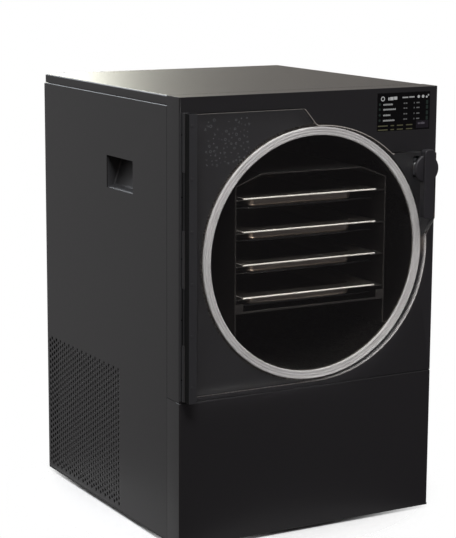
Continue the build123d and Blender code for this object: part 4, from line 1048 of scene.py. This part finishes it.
def etched_marks():
    """A loose scatter of small dots, rings and rows of two or three dashes; their places are seeded."""
    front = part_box("door_panel")[0].y - ETCH_PROUD
    toss = random.Random(7)
    bm = bmesh.new()
    placed = []
    for _ in range(ETCH_TRIES):
        x = toss.uniform(*ETCH_ACROSS) * MM
        z = toss.uniform(*ETCH_UP) * MM
        if math.hypot(x, z - AXIS) < ETCH_CLEAR * MM:
            continue
        if any(math.hypot(x - a, z - b) < ETCH_GAP * MM for a, b in placed):
            continue
        placed.append((x, z))
        size = toss.uniform(*ETCH_SIZE) * MM
        kind = len(placed) % 4
        if kind == 0:
            ring(bm, x, front, z, size + ETCH_RING * MM, ETCH_LINE * MM, ETCH_DEEP, 18)
        elif kind == 1:
            disc(bm, x, front, z, size * ETCH_DOT, ETCH_DEEP, 10)
        else:
            lean = toss.uniform(0, math.pi)
            for step in range(2 + kind % 2):
                off = (step - ETCH_START) * ETCH_STEP * MM
                slab(bm, x + off * math.cos(lean), front, z - off * math.sin(lean), ETCH_DASH * MM,
                     (ETCH_LONG + step) * size, ETCH_DEEP, lean)
        if len(placed) == ETCH_MARKS:
            break
    return piece("door_etching", whole(bm), "door", "door_acrylic", [etch_finish])


etched_marks()


# ------------------------ room, light and camera

FLOOR_FADE = 0.24           # from the middle of the object
FLOOR_END = 0.37
FLOOR_SHINE = 0.75          # share of the floor that polished faces don't see
ROOM_DIM = (0.082, 0.076, 0.079)    # the studio's own faint light
SCREEN_END = 25.4           # heading of the bright screen's right edge
SCREEN_SOFT = (-0.01, 0.02)  # sines between which that edge fades
STUDIO_LIGHTS = (           # heading, lift, bright within, gone past, colour, level, heading of a cut edge
    (0, 90, 10, 75, "ffffff", 0.84, None),              # ceiling
    (-32, 5, 10, 50, "fafafa", 0.34, None),             # wall at the left, behind
    (40, 4, 10, 40, "fff0dc", 0.22, None),              # wall at the right, behind
    (17, 9, 9, 14, "fffff0", 9.0, SCREEN_END),          # bright screen behind
    (122, -6, 4, 24, "f6f0ff", 0.3, None),              # wall at the right, in front
    (-150, -9, 2, 9, "ffe6d2", 1.5, None),              # warm lamp low in front
    (-10, 30, 6, 20, "f2f8ff", 5.5, None),              # high screen behind
    (149, -11, 12, 28, "ffffff", -0.02, None))          # black flag in front
CAMERA_PLACE = (-1.4368, -2.54275, 0.9283)
CAMERA_HEADING = 29.394     # degrees, as are the next two
CAMERA_DROP = 10.7285
CAMERA_ROLL = 0.321
CAMERA_LENS = 120.1         # millimetres


def floor():
    """A pale floor that keeps the object's shadow and fades into the background."""
    bm = bmesh.new()
    bmesh.ops.create_circle(bm, cap_ends=True, segments=96, radius=FLOOR_END)
    mesh = bpy.data.meshes.new("floor")
    bm.to_mesh(mesh)
    bm.free()
    made = bpy.data.objects.new("floor", mesh)
    bpy.context.scene.collection.objects.link(made)
    material, tree, shader = plain("pale_floor", "f4f4f4", Roughness=0.9)
    place = add(tree, "ShaderNodeTexCoord").outputs["Object"]
    reach = add(tree, "ShaderNodeVectorMath", {0: place}, operation="LENGTH").outputs["Value"]
    fade = add(tree, "ShaderNodeMapRange", {"Value": reach, "From Min": FLOOR_FADE, "From Max": FLOOR_END},
               interpolation_type="SMOOTHSTEP").outputs["Result"]
    gloss = add(tree, "ShaderNodeLightPath").outputs["Is Glossy Ray"]
    gloss = add(tree, "ShaderNodeMath", {0: gloss, 1: FLOOR_SHINE}, operation="MULTIPLY").outputs["Value"]
    fade = add(tree, "ShaderNodeMath", {0: fade, 1: gloss}, operation="MAXIMUM").outputs["Value"]
    clear = add(tree, "ShaderNodeBsdfTransparent").outputs["BSDF"]
    mix = add(tree, "ShaderNodeMixShader", {0: fade, 1: shader.outputs["BSDF"], 2: clear})
    tree.links.new(mix.outputs["Shader"], tree.nodes["Material Output"].inputs["Surface"])
    mesh.materials.append(material)
    return made


def way_to(heading, lift):
    """A direction; heading in degrees from +Y towards +X, lift above the horizon."""
    heading, lift = math.radians(heading), math.radians(lift)
    return Vector((math.sin(heading) * math.cos(lift), math.cos(heading) * math.cos(lift), math.sin(lift)))


def studio_world():
    """White to the camera, also through the clear door; to the object, a dim studio with soft lights."""
    world = bpy.data.worlds.new("studio")
    bpy.context.scene.world = world
    world.use_nodes = True
    tree = world.node_tree
    tree.nodes.clear()
    way = add(tree, "ShaderNodeTexCoord").outputs["Generated"]
    total = add(tree, "ShaderNodeCombineXYZ", dict(enumerate(ROOM_DIM))).outputs["Vector"]
    for heading, lift, bright, gone, code, level, cut in STUDIO_LIGHTS:
        aim = way_to(heading, lift)
        share = add(tree, "ShaderNodeVectorMath", {0: way, 1: aim}, operation="DOT_PRODUCT").outputs["Value"]
        share = add(tree, "ShaderNodeMapRange",
                    {"Value": share, "From Min": math.cos(math.radians(gone)),
                     "From Max": math.cos(math.radians(bright))},
                    interpolation_type="SMOOTHSTEP").outputs["Result"]
        if cut:
            aside = way_to(cut - 90, 0)
            edge = add(tree, "ShaderNodeVectorMath", {0: way, 1: aside}, operation="DOT_PRODUCT")
            edge = add(tree, "ShaderNodeMapRange",
                       {"Value": edge.outputs["Value"], "From Min": SCREEN_SOFT[0],
                        "From Max": SCREEN_SOFT[1]}, interpolation_type="SMOOTHSTEP").outputs["Result"]
            share = add(tree, "ShaderNodeMath", {0: edge, 1: share}, operation="MULTIPLY").outputs["Value"]
        hue = [c * level for c in colour(code)[:3]]
        total = add(tree, "ShaderNodeVectorMath", {0: share, 1: hue, 2: total},
                    operation="MULTIPLY_ADD").outputs["Vector"]
    path = add(tree, "ShaderNodeLightPath").outputs
    bounced = add(tree, "ShaderNodeMath", {0: path["Glossy Depth"], 1: path["Diffuse Depth"]},
                  operation="ADD")
    direct = add(tree, "ShaderNodeMath", {0: bounced.outputs[0], 1: 0.5}, operation="LESS_THAN").outputs[0]
    through = add(tree, "ShaderNodeMath", {0: path["Is Transmission Ray"], 1: direct}, operation="MULTIPLY")
    seen = add(tree, "ShaderNodeMath", {0: path["Is Camera Ray"], 1: through.outputs[0]},
               operation="MAXIMUM")
    studio = add(tree, "ShaderNodeBackground", {"Color": total, "Strength": 1.0})
    white = add(tree, "ShaderNodeBackground", {"Color": colour("ffffff"), "Strength": 1.0})
    mix = add(tree, "ShaderNodeMixShader", {0: seen.outputs[0], 1: studio.outputs[0], 2: white.outputs[0]})
    add(tree, "ShaderNodeOutputWorld", {"Surface": mix.outputs[0]})
    return world


def softbox(name, place, target, width, height, power):
    """A white rectangular lamp that the camera doesn't see."""
    data = bpy.data.lights.new(name, "AREA")
    data.shape = "RECTANGLE"
    data.size = width
    data.size_y = height
    data.energy = power
    lamp = bpy.data.objects.new(name, data)
    bpy.context.scene.collection.objects.link(lamp)
    lamp.location = place
    lamp.rotation_euler = (Vector(target) - Vector(place)).to_track_quat("-Z", "Y").to_euler()
    lamp.visible_camera = False
    return lamp


def camera():
    """A long lens at the left of the front, a little above the object and looking down on it."""
    ahead = way_to(CAMERA_HEADING, -CAMERA_DROP)
    right = way_to(CAMERA_HEADING + 90, 0)
    roll = Matrix.Rotation(-math.radians(CAMERA_ROLL), 3, ahead)
    right, up = roll @ right, roll @ right.cross(ahead)
    data = bpy.data.cameras.new("camera")
    data.lens = CAMERA_LENS
    data.clip_start = 0.1
    made = bpy.data.objects.new("camera", data)
    bpy.context.scene.collection.objects.link(made)
    made.matrix_world = at(*CAMERA_PLACE) @ Matrix((right, up, -ahead)).transposed().to_4x4()
    bpy.context.scene.camera = made
    return made


bpy.context.scene.view_settings.view_transform = "Standard"
floor()
studio_world()
softbox("front_high", place=(-0.9, -2.0, 2.8), target=(0, 0, 0.4), width=1.4, height=1.0, power=88)
camera()
